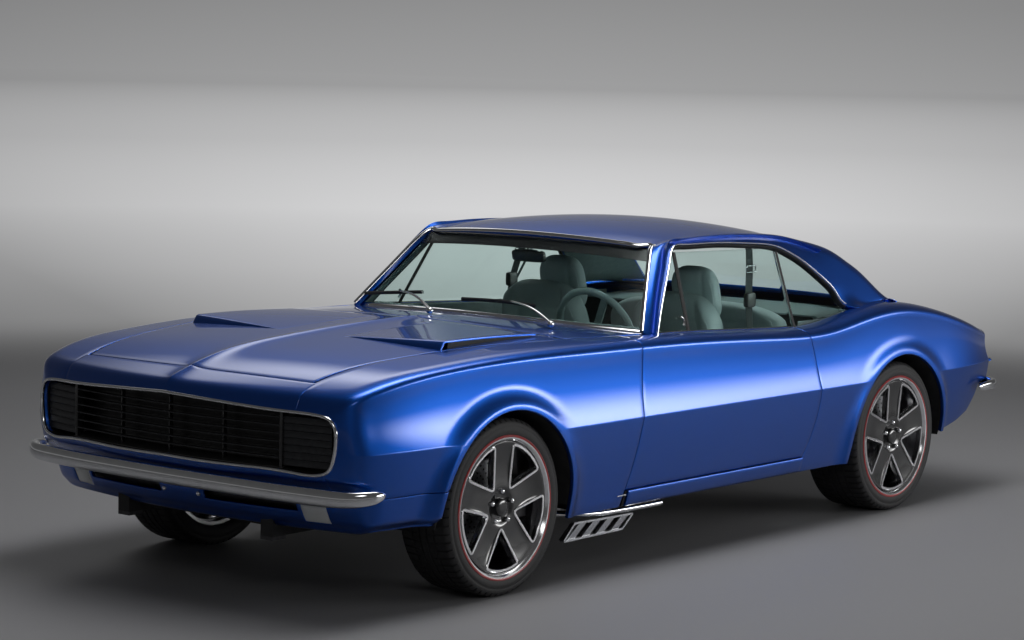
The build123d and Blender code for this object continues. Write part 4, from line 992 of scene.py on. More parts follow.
def nose_lip():
    """Strip under the grille mouth, curling back behind the bumper."""
    y = np.linspace(-LIP_HALF_Y + 1, LIP_HALF_Y - 1, 91)
    outline = mouth_outline(300)
    low = outline[outline[:, 1] < 560]
    order = np.argsort(low[:, 0])
    z_mouth = np.interp(np.abs(y), low[order, 0], low[order, 1])
    rows = []
    for s, back in NOSE_LIP_ROWS:
        rows.append(dots(nose_x(y) - back, y, z_mouth + (LIP_LOW_Z - z_mouth) * s))
    return sheet_mesh(np.stack(rows)[:, ::-1])


# Panels over the top and the rear
def hood():
    share = spread_share(121)
    rows = []
    for s in np.linspace(0, 1, 60):
        x_mid = HOOD_REAR_X + (HOOD_FRONT_X - HOOD_REAR_X) * s
        y = share * hood_half(x_mid - HOOD_BOW)
        x = x_mid - HOOD_BOW * share ** 2
        rows.append(dots(x, y, top_z(x, y)))
    return sheet_mesh(np.stack(rows)[:, ::-1])


def cowl():
    share = np.linspace(-1, 1, 81)
    rows = []
    for s in np.linspace(0, 1, 14):
        y = share * (COWL_HALF_Y + COWL_FLARE * s)
        front = HOOD_REAR_X - GAP - COWL_ROOM - HOOD_BOW * share ** 2
        rear = shield_x(y, SHIELD_BASE[1]) - 40
        x = front + (rear - front) * s
        rows.append(dots(x, y, top_z(x, y)))
    return sheet_mesh(np.stack(rows))


def quarter():
    centre = ARCHES[1][0]
    gap_x = float(door_rear(CREASE_Z)) - GAP
    arch_rear, arch_front = centre - ARCH_R, centre + ARCH_R
    before = np.concatenate([np.linspace(gap_x, arch_front + 150, 14), arch_front + NEAR_ARCH[:0:-1]])
    arch = arch_stations(centre)[::-1]
    after = np.concatenate([arch_rear - NEAR_ARCH[1:], np.linspace(arch_rear - 160, TAIL_X + 60, 16)])
    x = np.concatenate([before, arch, after])
    low = np.where(np.abs(x - centre) <= ARCH_R + 1e-6, arch_low(x, centre), SILL_Z)
    rise = np.interp(-x, *zip((-arch_rear, 318), *TAIL_RISE))
    low = np.where(x < arch_rear, rise, low)
    y_top = np.interp(-x, (1060, 1560), (DOOR_TOP_Y, LID_HALF_Y + GAP))
    slant = border_shift(door_rear, gap_x, 300, -1)
    side = side_sheet(x, low, y_top, lambda z: slant(z, x[None]))
    border = side[:, -1]
    yz = border[:, 1:]
    along = np.gradient(yz, axis=0)
    normal = unit(np.stack([along[:, 1], -along[:, 0]], 1))
    columns = [side[:, i] for i in range(side.shape[1])]
    for a in np.radians((0, 18, 36, 54, 72, 90)):
        q = yz - normal * EDGE_R * (1 - math.cos(a))
        columns.append(np.column_stack([tail_x(q[:, 0]) + EDGE_R * (1 - math.sin(a)), q]))
    rim = columns[-1][:, 1:]
    target_y = np.full(len(rim), LID_HALF_Y + GAP)
    target_z = np.minimum(rim[:, 1], 700)
    for s in np.linspace(0, 1, 7)[1:]:
        q = rim + (np.column_stack([target_y, target_z]) - rim) * s
        columns.append(np.column_stack([tail_x(q[:, 0]), q]))
    return sheet_mesh(np.stack(columns, 1))


def deck_sheet(front, rear, half, rows=24):
    share = np.linspace(-1, 1, 81)
    lines = []
    for s in np.linspace(0, 1, rows):
        y = share * half
        x = front(y) + (rear(y) - front(y)) * s
        lines.append(dots(x, y, top_z(x, y)))
    return sheet_mesh(np.stack(lines))


def tail():
    """Rear face from the lid's edge over the rounded top and down to the bumper."""
    y = np.linspace(-LID_HALF_Y, LID_HALF_Y, 81)
    rows = []
    for s in np.linspace(0, 1, 4):
        x = (LID_REAR_X - GAP) + (tail_x(y) + EDGE_R - (LID_REAR_X - GAP)) * s
        rows.append(dots(x, y, top_z(x, y)))
    edge = rows[-1]
    for a in np.radians((18, 36, 54, 72, 90)):
        rows.append(dots(tail_x(y) + EDGE_R * (1 - math.sin(a)), y,
                         edge[:, 2] - EDGE_R * (1 - math.cos(a))))
    rim = rows[-1]
    for s in np.linspace(0, 1, 12)[1:]:
        rows.append(dots(tail_x(y), y, rim[:, 2] + (445 - rim[:, 2]) * s))
    return sheet_mesh(np.stack(rows))


def build_panels():
    pair("door", doors(), PAINT, "paint", ("door_{}",), "door_{}")
    pair("fender", shell(*fender()), PAINT, "paint", ("fender_{}",))
    pair("quarter", shell(*quarter()), PAINT, "paint", ("quarter_{}",))
    piece("hood_skin", shell(*hood(), depth=8), PAINT, "hood", "paint", ("hood",))
    piece("nose_header", shell(*nose_header()), PAINT, slot="paint", stands_for=("nose_panel",))
    piece("nose_lip", shell(*nose_lip(), depth=8), PAINT, slot="paint")
    piece("cowl", shell(*cowl(), depth=10), PAINT, slot="paint", stands_for=("cowl_panel",))
    lid = deck_sheet(lambda y: LID_FRONT_X + 0 * y, lambda y: LID_REAR_X + 0 * y, LID_HALF_Y)
    piece("deck_lid_skin", shell(*lid), PAINT, "deck_lid", "paint", ("deck_lid",))
    shelf = deck_sheet(lambda y: back_x(y, 930 + 0 * y) + 60, lambda y: LID_FRONT_X + GAP + 0 * y,
                       LID_HALF_Y + GAP, rows=12)
    piece("rear_shelf", shell(*shelf, depth=10), PAINT, slot="paint", stands_for=("rear_deck",))
    piece("tail_face", shell(*tail()), PAINT, slot="paint", stands_for=("tail_panel",))


# Greenhouse
LEAN = 0.464
BELT = (905.0, 790.0)
GLASS_BOW_R = 2300.0
SHIELD_BASE = (600.5, 905.0)
SHIELD_TOP = (235.5, 1272.0)
BACK_HEAD = (-932.5, 1238.0)
BACK_BASE = (-1650.5, 905.0)
BACK_FOOT = (-1590.0, 926.0)
ROOF_LINE = ((249, 1266), (80, 1292), (-150, 1309), (-450, 1310), (-750, 1284), (-900, 1254),
             (-1010, 1218))
ROOF_CROWN = 34.0
CROWN_Y = 520.0


def lean_y(z):
    return BELT[1] - (z - BELT[0]) * LEAN


def bow(y):
    return GLASS_BOW_R - np.sqrt(GLASS_BOW_R ** 2 - np.asarray(y, float) ** 2)


def slope_x(base, head, y, z):
    """x on a bowed pane that leans from base to head, at width y and height z."""
    dx, dz = head[0] - base[0], head[1] - base[1]
    run = math.hypot(dx, dz)
    sign = 1 if dx < 0 else -1
    nx, nz = sign * dz / run, -sign * dx / run
    t = (z - base[1] + nz * bow(y)) * run / dz
    return base[0] + dx / run * t - nx * bow(y)


def shield_x(y, z):
    return slope_x(SHIELD_BASE, SHIELD_TOP, y, z)


def back_x(y, z):
    return slope_x(BACK_BASE, BACK_HEAD, y, z)


roof_line = spline(*zip(*ROOF_LINE))


def roof_z(x, y):
    return roof_line(x) - ROOF_CROWN * (np.abs(y) / CROWN_Y) ** 2


# Stations of a roof side from pillar foot to sail foot: outer line, shoulder point, inner line
# Columns: x_out, z_out, x_bend, y_bend, z_bend, x_in, y_in, z_in, where no z_in means on the roof
PILLAR = (
    (392, 888, 424, 794, 908, 450, 779, 916),
    (310, 985, 350, 748, 1004, 373, 731, 1008),
    (225, 1078, 276, 705, 1096, 298, 685, 1096),
    (140, 1170, 196, 662, 1188, 224, 640, 1182),
    (74, 1234, 126, 626, 1248, 158, 603, None),
    (-20, 1239, 30, 618, 1258, 60, 578, None),
    (-160, 1238, -120, 616, 1263, -100, 568, None),
    (-310, 1234, -285, 615, 1264, -270, 562, None),
    (-480, 1224, -465, 616, 1262, -450, 557, None),
    (-640, 1209, -640, 617, 1254, -640, 553, None),
    (-735, 1180, -770, 620, 1246, -785, 550, None),
    (-806, 1147, -890, 627, 1228, -915, 548, None),
    (-872, 1106, -1005, 644, 1206, -1035, 556, 1186),
    (-936, 1058, -1112, 668, 1174, -1150, 566, 1148),
    (-996, 1000, -1205, 694, 1124, -1255, 580, 1094),
    (-1046, 938, -1288, 720, 1070, -1345, 596, 1036),
    (-1170, 916, -1376, 756, 990, -1425, 612, 972),
    (-1300, 922, -1432, 776, 948, -1478, 622, 934),
    (-1420, 916, -1476, 788, 922, -1512, 630, 912),
)
FOOT_FROM = 16
CORNER_STATION = 4
REAR_STATION = 11
FINE = 8
FOOT_ROUND = 34.0
BEND_ROUND = 62.0
HEADER_BOW = 94.0
BACK_BOW = 92.0


def side_controls():
    """Control points of the roof side stations, smoothed along it: outer, foot, bend and inner."""
    outer, foot, bend, inner = [], [], [], []
    for k, row in enumerate(PILLAR):
        x_out, z_out, x_b, y_b, z_b, x_in, y_in, z_in = row
        if z_in is None:
            z_in = float(roof_z(x_in, y_in))
        b = np.array((x_b, y_b, z_b), float)
        if k >= FOOT_FROM:
            y_edge = float(COLUMN["y_edge"](x_out))
            o = np.array((x_out, y_edge + 14, float(COLUMN["z_edge"](x_out)) - 5))
            f = np.array((x_out - 6, lean_y(z_out + 16) + 2, float(top_z(x_out, 780.0)) + 1))
        else:
            o = np.array((x_out, lean_y(z_out), z_out), float)
            f = o + (b - o) * 0.3
        outer.append(o)
        foot.append(f)
        bend.append(b)
        inner.append(np.array((x_in, y_in, z_in), float))
    stations = np.arange(len(PILLAR), dtype=float)
    fine = np.linspace(0, len(PILLAR) - 1, (len(PILLAR) - 1) * FINE + 1)
    smooth = []
    for points in (outer, foot, bend, inner):
        points = np.array(points)
        smooth.append(np.stack([spline(stations, points[:, i])(fine) for i in range(3)], 1))
    return smooth


def corner(a, b, c, setback, n):
    """Arc-like run round b between a and c, starting and ending setback away from b."""
    ab = np.linalg.norm(a - b, axis=1, keepdims=True)
    cb = np.linalg.norm(c - b, axis=1, keepdims=True)
    p = b + (a - b) * np.minimum(setback / ab, 0.48)
    q = b + (c - b) * np.minimum(setback / cb, 0.48)
    return arc_points(p, b, q, n)


def roof_side():
    outer, foot, bend, inner = side_controls()
    columns = [outer]
    columns += corner(outer, foot, bend, FOOT_ROUND, 6)
    columns += [columns[-1] + (bend - columns[-1]) * s for s in (0.12, 0.24, 0.36)]
    tail_run = corner(foot, bend, inner, BEND_ROUND, 10)
    start = columns[-1]
    columns += [start + (tail_run[0] - start) * s for s in (0.35, 0.7)]
    columns += tail_run
    last = columns[-1]
    columns += [last + (inner - last) * s for s in (0.33, 0.67, 1.0)]
    return np.stack(columns)


def roof_middle(inner):
    """Roof between its sides, from the windshield header to the rear window header."""
    first, last = CORNER_STATION * FINE, REAR_STATION * FINE
    span = inner[first:last + 1]
    t = np.linspace(0, 1, len(span))[:, None]
    reach = HEADER_BOW * (1 - t) - BACK_BOW * t
    share = np.linspace(-1, 1, 61)[None]
    y = span[:, 1:2] * share
    x = span[:, :1] + reach * (1 - share ** 2)
    z = roof_z(x, y)
    z[:, 0] = z[:, -1] = span[:, 2]
    return np.stack([x, y, z], -1)


def roof():
    side = roof_side()
    inner = side[-1]
    middle = roof_middle(inner)
    left = side.transpose(1, 0, 2)
    right = (side * (1, -1, 1)).transpose(1, 0, 2)[:, ::-1]
    return sheet_mesh(left[:, ::-1], right[:, ::-1], middle)


def pane(rows):
    return skin(rows, depth=5, roll=0.6)


def build_greenhouse():
    points, faces = roof()
    piece("roof", shell(points, faces, depth=20), PAINT, slot="paint", stands_for=("roof_shell",))
    # Windshield and rear window follow the roof's inner lines
    inner = side_controls()[3]
    shield_edge = inner[:CORNER_STATION * FINE + 1]
    rows = []
    for p in shield_edge:
        y = np.linspace(-p[1] - 6, p[1] + 6, 49)
        z = p[2] - 8 + (18 * (1 - (y / p[1]) ** 2) * ease((p[2] - 1100) / 140))
        rows.append(dots(shield_x(y, z) - 6, y, z))
    low = rows[0].copy()
    low[:, 2] = SHIELD_BASE[1]
    low[:, 0] = shield_x(low[:, 1], low[:, 2]) - 6
    piece("windshield", pane([low] + rows), GLASS, slot="glass", stands_for=("fixed_glass",))
    back_edge = inner[REAR_STATION * FINE:]
    run = lengths(back_edge)
    head_x = back_edge[0, 0] - BACK_BOW
    head = np.array((head_x, 0, float(roof_z(head_x, 0.0)) - 7))
    foot_mid = np.array((BACK_FOOT[0], 0, BACK_FOOT[1]))
    rows = []
    for p, s in zip(back_edge, run / run[-1]):
        share = np.linspace(-1, 1, 49)[:, None]
        middle = head + (foot_mid - head) * s + np.array((0, 0, 40 * s * (1 - s)))
        edge_point = np.array((p[0], 0, p[2] - 7))
        row = edge_point + (middle - edge_point) * (1 - share ** 2)
        row[:, 1] = share[:, 0] * (p[1] + 6)
        rows.append(row)
    piece("rear_window", pane(rows), GLASS, slot="glass")


# Side windows on the leaning plane, set in from the drip line
VENT_POST = ((151, 905), (72, 1210))
B_POST = ((-606, 872), (-663, 1180))
VENT_PANE_FRONT = ((392, 880), (98, 1205))
DOOR_PANE_REAR = (B_POST[0], (-650, 1150), (-655, 1196))
QUARTER_PANE_REAR = ((-1030, 912), (-1020, 945), (-940, 1040), (-840, 1115), (-740, 1168))
WINDOW_IN = 12.0


def side_glass(front, rear):
    """Pane between two border lines of (x, z) points, both from bottom to top."""
    t = np.linspace(0, 1, 24)
    s = np.linspace(0, 1, 30)
    ends = []
    for border in (front, rear):
        share = np.linspace(0, 1, len(border))
        ends.append(np.array([np.interp(t, share, values) for values in zip(*border)]).T)
    rows = []
    for a, b in zip(*ends):
        x = a[0] + (b[0] - a[0]) * s
        z = a[1] + (b[1] - a[1]) * s
        rows.append(dots(x, lean_y(z) - WINDOW_IN, z))
    return pane(rows)


def build_side_glass():
    vent = side_glass(VENT_PANE_FRONT, VENT_POST)
    main = side_glass(VENT_POST, DOOR_PANE_REAR)
    pair("door_glass", join(vent, main), GLASS, "glass", ("door_glass_{}",), "door_{}")
    rear = side_glass(B_POST, QUARTER_PANE_REAR)
    pair("quarter_glass", rear, GLASS, "glass")


def build_sun_strip():
    rows = []
    share = np.linspace(-1, 1, 49)
    low = 1203 - 26 * share ** 2
    for s in np.linspace(0, 1, 8):
        y = share * (628 - 26 * s)
        top = 1252 - 6 * (y / 600) ** 2
        z = low + (top - low) * s
        rows.append(dots(shield_x(y, z) - 7, y, z))
    piece("sun_strip", skin(rows, depth=1.5, roll=0.3), GLOSS_BLACK, slot="black", outward=True)


# Bright and dark trim
def post_line(post, below, ahead, out):
    """Points up a window post, from below its foot, moved ahead and out from the glass."""
    (x_low, z_low), (x_high, z_high) = post
    z = np.linspace(z_low - below, z_high, 12)
    x = np.interp(z, (z_low, z_high), (x_low, x_high)) + ahead
    return dots(x, lean_y(z) - WINDOW_IN + out, z)


def build_trim():
    outer, _, _, inner = side_controls()
    rail = outer[:(FOOT_FROM - 1) * FINE + 1]
    drip = rail + (0, 2, 0)
    out_way = np.array((0, 1, LEAN))
    pair("drip_moulding", sweep(drip, round_profile(5, 9), up=out_way), CHROME, "chrome")
    seal = rail + (0, -5, -14)
    pair("window_seal", sweep(seal, round_profile(6, 15), up=out_way), SEAL, "black")
    edge = inner[:CORNER_STATION * FINE + 1] + (0, -7, 0)
    header = roof_middle(inner)[0][::-1]
    header = header[2:-2] + (6, 0, -6)
    right = (edge * (1, -1, 1))[::-1]
    reveal = line(np.concatenate([edge, header, right])[::2], 240) + (6, 0, 6)
    normal = np.array((0.71, 0, 0.70))
    piece("shield_reveal", sweep(reveal, round_profile(10, 4.5), up=normal), CHROME, slot="chrome")
    base = []
    for y in np.linspace(775, -775, 81):
        z = 930.0
        for _ in range(30):
            z = 0.5 * z + 0.5 * float(top_z(shield_x(y, z), y))
        base.append((float(shield_x(y, z)) + 4, y, z + 5))
    piece("shield_base_reveal", sweep(np.array(base), round_profile(11, 5), up=normal), CHROME,
          slot="chrome")
    at = post_line(VENT_POST, 20, 0, 3)
    pair("vent_seal", sweep(at, round_profile(9, 5), up=(0, 1, 0)), SEAL, "black", body="door_{}")
    pair("vent_post", sweep(at + (-7, 2.5, 0), round_profile(4, 4), up=(0, 1, 0)), CHROME, "chrome",
         body="door_{}")
    latch = sweep(line([(168, 774, 925), (160, 766, 950), (176, 760, 962)], 10), round_profile(6, 5))
    pair("vent_latch", latch, CHROME, "chrome", body="door_{}", outward=True)
    post = sweep(post_line(B_POST, 10, -6, 4), round_profile(7, 5), up=(0, 1, 0))
    pair("quarter_post", post, CHROME, "chrome")
    belt_x = np.linspace(396, -570, 40)
    belt = np.array([(x, 789, float(top_z(x, 789.0)) + 3) for x in belt_x])
    pair("belt_strip", sweep(belt, round_profile(5, 3.5)), CHROME, "chrome", body="door_{}")
    rocker_x = np.linspace(713, -560, 60)
    edge = np.array([(x, float(side_y(x, 296.0)) + 3.5, 296.0) for x in rocker_x])
    pair("rocker_line", sweep(edge, round_profile(2, 2.5)), STEEL, "steel")


# Bumper bars from the middle to the left tip
FRONT_BAR = ((2323, 0, 460), (2315, 250, 459), (2293, 500, 456), (2256, 720, 453), (2216, 838, 455),
             (2168, 878, 460), (2108, 886, 464))
REAR_BAR = ((-2330, 0, 497), (-2322, 300, 497), (-2306, 600, 497), (-2276, 800, 497), (-2226, 872, 497),
            (-2150, 888, 497), (-2062, 892, 497))


def bumper_bar(path, height, depth):
    """Bright bar: crowned face with a middle crest, thinner towards its rounded tips."""
    path = np.array(path, float)
    spine = line(np.concatenate([path[:0:-1] * (1, -1, 1), path]), 181)
    profile = []
    for a in np.linspace(0, 2 * np.pi, 36, endpoint=False):
        c, s = math.cos(a), math.sin(a)
        profile.append((depth * np.sign(c) * abs(c) ** 0.8, height * np.sign(s) * abs(s) ** 0.9))
    run = np.abs(np.linspace(-1, 1, len(spine)))
    tip = np.sqrt(np.clip(1 - ((run - 0.9) / 0.1).clip(0, 1) ** 2, 0.012, 1))
    return sweep(spine, profile, scale=tip * (1 - 0.2 * ease((run - 0.72) / 0.28)))


# Front end
def valance():
    """Panel under the bumper, from arch to arch, with slots and lamp mouths left open."""
    centre = ARCHES[0][0]
    y = np.array(VALANCE_Y, float)
    rows = []
    for z in VALANCE_Z:
        front = dots(nose_x(y) - valance_back(z), y, z)
        z_side = VALANCE_TOP_Z - (VALANCE_TOP_Z - z) * 0.88
        x_arch = centre + math.sqrt(max(ARCH_R ** 2 - max(z_side - ARCH_Z, 0) ** 2, 0)) + 0.5
        tuck = 30 * ease((345 - z) / 45) ** 1.5
        x = np.concatenate([np.linspace(x_arch, x_arch + 120, 10), np.linspace(x_arch + 150, 2060, 8)])
        side = dots(x, side_y(x, z_side) - tuck, z_side)
        start, way = side[-1], unit(side[-1] - side[-2])
        goal, leave = front[-1], unit(front[-1] - front[-2])
        reach = 0.45 * np.linalg.norm(goal - start)
        turn = bezier(start[None], (start + way * reach)[None], (goal + leave * reach)[None],
                      goal[None], 14)
        half = np.concatenate([front[:-1], np.concatenate(turn)[::-1], side[::-1]])
        rows.append(np.concatenate([(half * (1, -1, 1))[:0:-1], half]))
    sheet = np.stack(rows)[:, ::-1]
    middle = sheet.shape[1] // 2
    holes = []
    for y0, y1, z1, z0 in (SLOT_BOX, LAMP_BOX):
        holes.append((VALANCE_Z.index(z1), VALANCE_Z.index(z0), VALANCE_Y.index(y0),
                      VALANCE_Y.index(y1)))

    def skip(row, column):
        step = column - middle if column >= middle else middle - 1 - column
        return any(r0 <= row < r1 and c0 <= step < c1 for r0, r1, c0, c1 in holes)

    return shell(*sheet_mesh(sheet, skip=skip), depth=8)


def lamp_plate(set_back, grow, crown=0.0):
    """Plate in the valance's lamp mouth, crowned towards the front."""
    y0, y1, z1, z0 = LAMP_BOX
    rows = []
    for z in np.linspace(z1 + grow, z0 - grow, 10):
        y = np.linspace(y0 - grow, y1 + grow, 14)
        u = np.linspace(-1, 1, 14)
        v = (z - (z0 + z1) / 2) / ((z1 - z0) / 2 + grow)
        dome = crown * (1 - u ** 4) * (1 - v ** 4)
        rows.append(dots(nose_x(y) - valance_back(z) - set_back + dome, y, z))
    return sheet_mesh(np.stack(rows)[:, ::-1])


def build_parking_lamps():
    pair("parking_lens", shell(*lamp_plate(2, -2.5, crown=5), depth=3, roll=0.8), LENS_CLEAR,
         "lamp_clear")
    pair("parking_bowl", shell(*lamp_plate(17, 3), depth=3, roll=0.8), POLISHED, "chrome")
    for obj in ("parking_lens_left", "parking_lens_right"):
        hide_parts("parking_lamps")
    bolts = []
    for y in (-89, 89):
        p, f = lathe([(0.5, 6), (5, 5.6), (8, 4), (9, 1), (9, -6), (0.5, -6)], 0, 0, 16)
        x = float(nose_x(y) - valance_back(392.0)) + 1
        bolts.append((dots(p[:, 1] + x, p[:, 0] + y, p[:, 2] + 392), f))
    piece("plate_bolts", join(*bolts), CHROME, slot="chrome", outward=True)


def lamp_door_seed():
    """One rib of a covered lamp, bent to the nose's plan."""
    y = np.linspace(538, 734, 24)
    path = dots(nose_x(y) - 30, y, 0.0)
    rib = soft_corners([(-12, -12.2), (8, -12.2), (5, 12.2), (-12, 12.2)], [3, 2, 2, 3], 3)
    return turned_out(sweep(path, rib))


def build_grille():
    y = np.linspace(-540, 540, 61)
    slat = sweep(dots(nose_x(y) - 34, y, 0),
                 soft_corners([(-16, -5), (16, -2.2), (16, 2.6), (-16, 0)], [2, 2, 2, 2], 3))
    repeated("grille_slats", turned_out(slat), 6, (0, 0, 577), (0, 0, 29), 0, LAMP_DOOR, "body",
             ("grille",))
    repeated_pair("lamp_doors", lamp_door_seed(), 7, (0, 0, 563), (0, 0, 25.4), 0, LAMP_DOOR, "body",
                  "black")
    ribs = []
    for at in (-265, 0, 265):
        x = float(nose_x(at)) - 40
        ribs.append(box_mesh((x - 10, at - 3, 536), (x + 8, at + 3, 756), 12, 6))
    for at in (-534, 534):
        x = float(nose_x(at)) - 28
        ribs.append(box_mesh((x - 22, at - 7, 536), (x + 12, at + 7, 748), 12, 6))
    piece("grille_ribs", join(*ribs), GLOSS_BLACK, slot="black", outward=True)
    sill = sweep(dots(nose_x(y) - 40, y, 552.0),
                 soft_corners([(-34, -2), (26, -12), (26, -9), (-34, 6)], [1, 1, 1, 1], 3))
    piece("grille_sill", sill, POLISHED_DARK, slot="steel", outward=True)
    # Painted shade: a black sheet 80 mm behind the nose line stands for the shade inside the mouth,
    # behind the slats and lamp doors
    y = np.linspace(-758, 758, 81)
    rows = [dots(nose_x(y) - 80, y, z) for z in np.linspace(526, 766, 12)]
    piece("grille_painted_shade", skin(np.stack(rows)[::-1, ::-1], depth=4), BLACK, slot="black")


def build_front():
    outline = mouth_outline(140)
    half = np.column_stack([nose_x(outline[:, 0]) - 3, outline])
    ring = np.concatenate([half, (half * (1, -1, 1))[-2:0:-1]])
    piece("grille_ring", sweep(ring, round_profile(6.5, 8), up=(1, 0, 0), closed=True), CHROME,
          slot="chrome", outward=True)
    outward = ring - np.array((0, 0, 640.0))
    sleeve = []
    for back, inset in ((3, 0.0), (20, 0.006), (45, 0.014), (80, 0.02)):
        sleeve.append(ring - (back, 0, 0) - outward * (0, inset, inset * 3))
    loop = np.stack([np.concatenate([s, s[:1]]) for s in sleeve])
    piece("grille_sleeve", skin(loop, depth=-3, roll=0.5), LAMP_DOOR, slot="black", outward=True)
    build_grille()
    piece("bumper_front", bumper_bar(FRONT_BAR, 32, 20), CHROME, slot="chrome",
          stands_for=("front_bumper",), outward=True)
    piece("valance", valance(), PAINT, slot="paint", stands_for=("front_valance",))
    # Painted shade: a black sheet 30 mm behind the valance slot stands for the shade inside it
    y = np.linspace(-560, 560, 61)
    rows = [dots(nose_x(y) - valance_back(z) - 30, y, z) for z in (366, 391, 418)]
    piece("valance_slot_shade", skin(np.stack(rows)[::-1, ::-1], depth=4), BLACK, slot="black")
    build_parking_lamps()


# Rear end and wheel arches
def build_rear():
    piece("bumper_rear", bumper_bar(REAR_BAR, 26, 17), CHROME, slot="chrome",
          stands_for=("rear_bumper",), outward=True)
    for k, (y0, y1) in enumerate(((430, 520), (530, 620))):
        loop = soft_corners([(y0, 560), (y1, 560), (y1, 650), (y0, 650)], [14] * 4)
        ring = np.column_stack([tail_x(loop[:, 0]) - 2, loop])
        bezel = turned_out(sweep(ring, round_profile(6, 6), up=(1, 0, 0), closed=True))
        pair(f"tail_bezel_{k}", bezel, CHROME, "chrome")
        rows = []
        for z in np.linspace(646, 564, 10):
            y = np.linspace(y0 + 4, y1 - 4, 12)
            dome = 7 * (1 - ((y - (y0 + y1) / 2) / 45) ** 4) * (1 - ((z - 605) / 45) ** 4)
            rows.append(dots(tail_x(y) + 2 - dome, y, z))
        pair(f"tail_lens_{k}", skin(rows, depth=6, roll=1), LENS_RED, "lamp_red", outward=True)
        for side in ("left", "right"):
            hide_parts("tail_lamps")
    y = np.linspace(-690, 690, 61)
    rows = []
    for z, ahead in ((470, 6), (450, 10), (430, 26), (412, 50), (400, 84)):
        rows.append(dots(tail_x(y) + ahead, y, z))
    piece("rear_valance", skin(rows, depth=8), PAINT, slot="paint")


def build_liners():
    """Dark inner skins of the wheel arches."""
    for label, (centre, _) in (("front", ARCHES[0]), ("rear", ARCHES[1])):
        rows = []
        for a in np.radians(np.linspace(-3, 183, 48)):
            x = centre + (ARCH_R + 7) * math.cos(a)
            z = ARCH_Z + (ARCH_R + 7) * math.sin(a)
            y = np.linspace(575, float(side_y(x, z)) - 20, 8)
            rows.append(dots(x, y, z))
        pair(f"arch_liner_{label}", skin(rows, depth=3, roll=0.5), UNDER, "under", outward=True)


# Wheels
TYRE_R = 335.0
RIM_LIP_R = 268.0
SPOKE_SET = 22.0
SPOKE_T = 24.0
CAP_R = 34.0
WINDOW_IN_R = 76.0
WINDOW_OUT_R = 238.0
WINDOW_SPAN = 13.0
LUG_R = 10.0
LUG_CIRCLE_R = 60.3
TREAD_PITCHES = 64
GROOVES = (-0.42, -0.14, 0.14, 0.42)
RING_DEPTH = 6.5
CROSS_DEPTH = 5.5
WINDOWS = 5
HALF_TURN = 180 / WINDOWS
SPOKE_RISE = 10.0
DISC_SET = 90.0
HOLE_CIRCLES = (104, 122, 140, 158)
HOLE_ROWS = 24

# Turned sections as radius and distance in from the tyre's side, the spokes' face or the disc's face
TYRE_SIDE = ((256, 16), (258, 9), (266, 4), (285, 0.5), (300, 0.5), (302, 2), (308, 2), (310, 1.5),
             (320, 5), (329, 13))
RIM = ((RIM_LIP_R, 12), (RIM_LIP_R, 3), (RIM_LIP_R - 3, 1), (RIM_LIP_R - 9, 2), (RIM_LIP_R - 13, 7),
       (246, 20), (242, 30), (240, 70), (230, 100))
RED_RING = ((264, 8), (264.5, 1), (266, 0.3), (272, 0.3), (273.5, 1.5), (273.5, 8))
CAP = ((0.3, -9), (14, -9), (26, -7.5), (32, -4), (CAP_R, 2), (CAP_R, 14), (0.3, 14))
NUT = ((0.3, -12), (5, -12), (8, -10), (LUG_R, -6), (LUG_R, 4), (0.3, 4))
# Black dot that paints the shade of a drilled hole in the disc
DISC_HOLE_SHADE = ((0.3, -0.6), (4.2, -0.6), (4.2, 2), (0.3, 2))

# Name, axle, outer side of the tyre and its width
WHEELS = (("front", FRONT_AXLE_X, 868.0, 245.0), ("rear", REAR_AXLE_X, 888.0, 275.0))


def tyre_sector(outer, width):
    """One pitch of the tyre about the wheel axis, with its ring grooves and one cross groove."""
    inner = outer - width
    middle = (inner + outer) / 2
    edges = []
    for place in GROOVES:
        edges += [place - 0.035, place - 0.028, place + 0.028, place + 0.035]
    across = np.sort([-0.84, -0.76, -0.68, -0.56] + edges + [0.56, 0.68, 0.76, 0.84])
    in_groove = np.array([any(abs(a - p) < 0.03 for p in GROOVES) for a in across])
    low = [(r, inner + set_in) for r, set_in in TYRE_SIDE]
    high = [(r, inner + outer - y) for r, y in low[::-1]]
    crown = [(TYRE_R - 1.6 * abs(a) ** 3, middle + a * width / 2) for a in across]
    profile = np.array(low + crown + high)
    share = (profile[:, 1] - middle) / (width / 2)
    tread = profile[:, 0] > 327
    ring = np.zeros(len(profile), bool)
    ring[len(low):len(low) + len(crown)] = in_groove
    pitch = 360 / TREAD_PITCHES
    steps = np.array((0, 0.12, 0.70, 0.735, 0.89, 0.925, 1.0)) * pitch
    cut = np.array((0, 0, 0, 1, 1, 0, 0))
    rows = []
    for angle, groove in zip(steps, cut):
        cross = groove * tread * (np.abs(share) > 0.2) * CROSS_DEPTH
        depth = np.maximum(cross, ring * RING_DEPTH)
        a = np.radians(angle + 1.6 * np.abs(share) ** 1.5)
        r = profile[:, 0] - depth
        rows.append(dots(r * np.cos(a), profile[:, 1], r * np.sin(a)))
    sheet = np.stack(rows)
    return sheet_mesh(np.concatenate([sheet, sheet[:, :1]], 1))


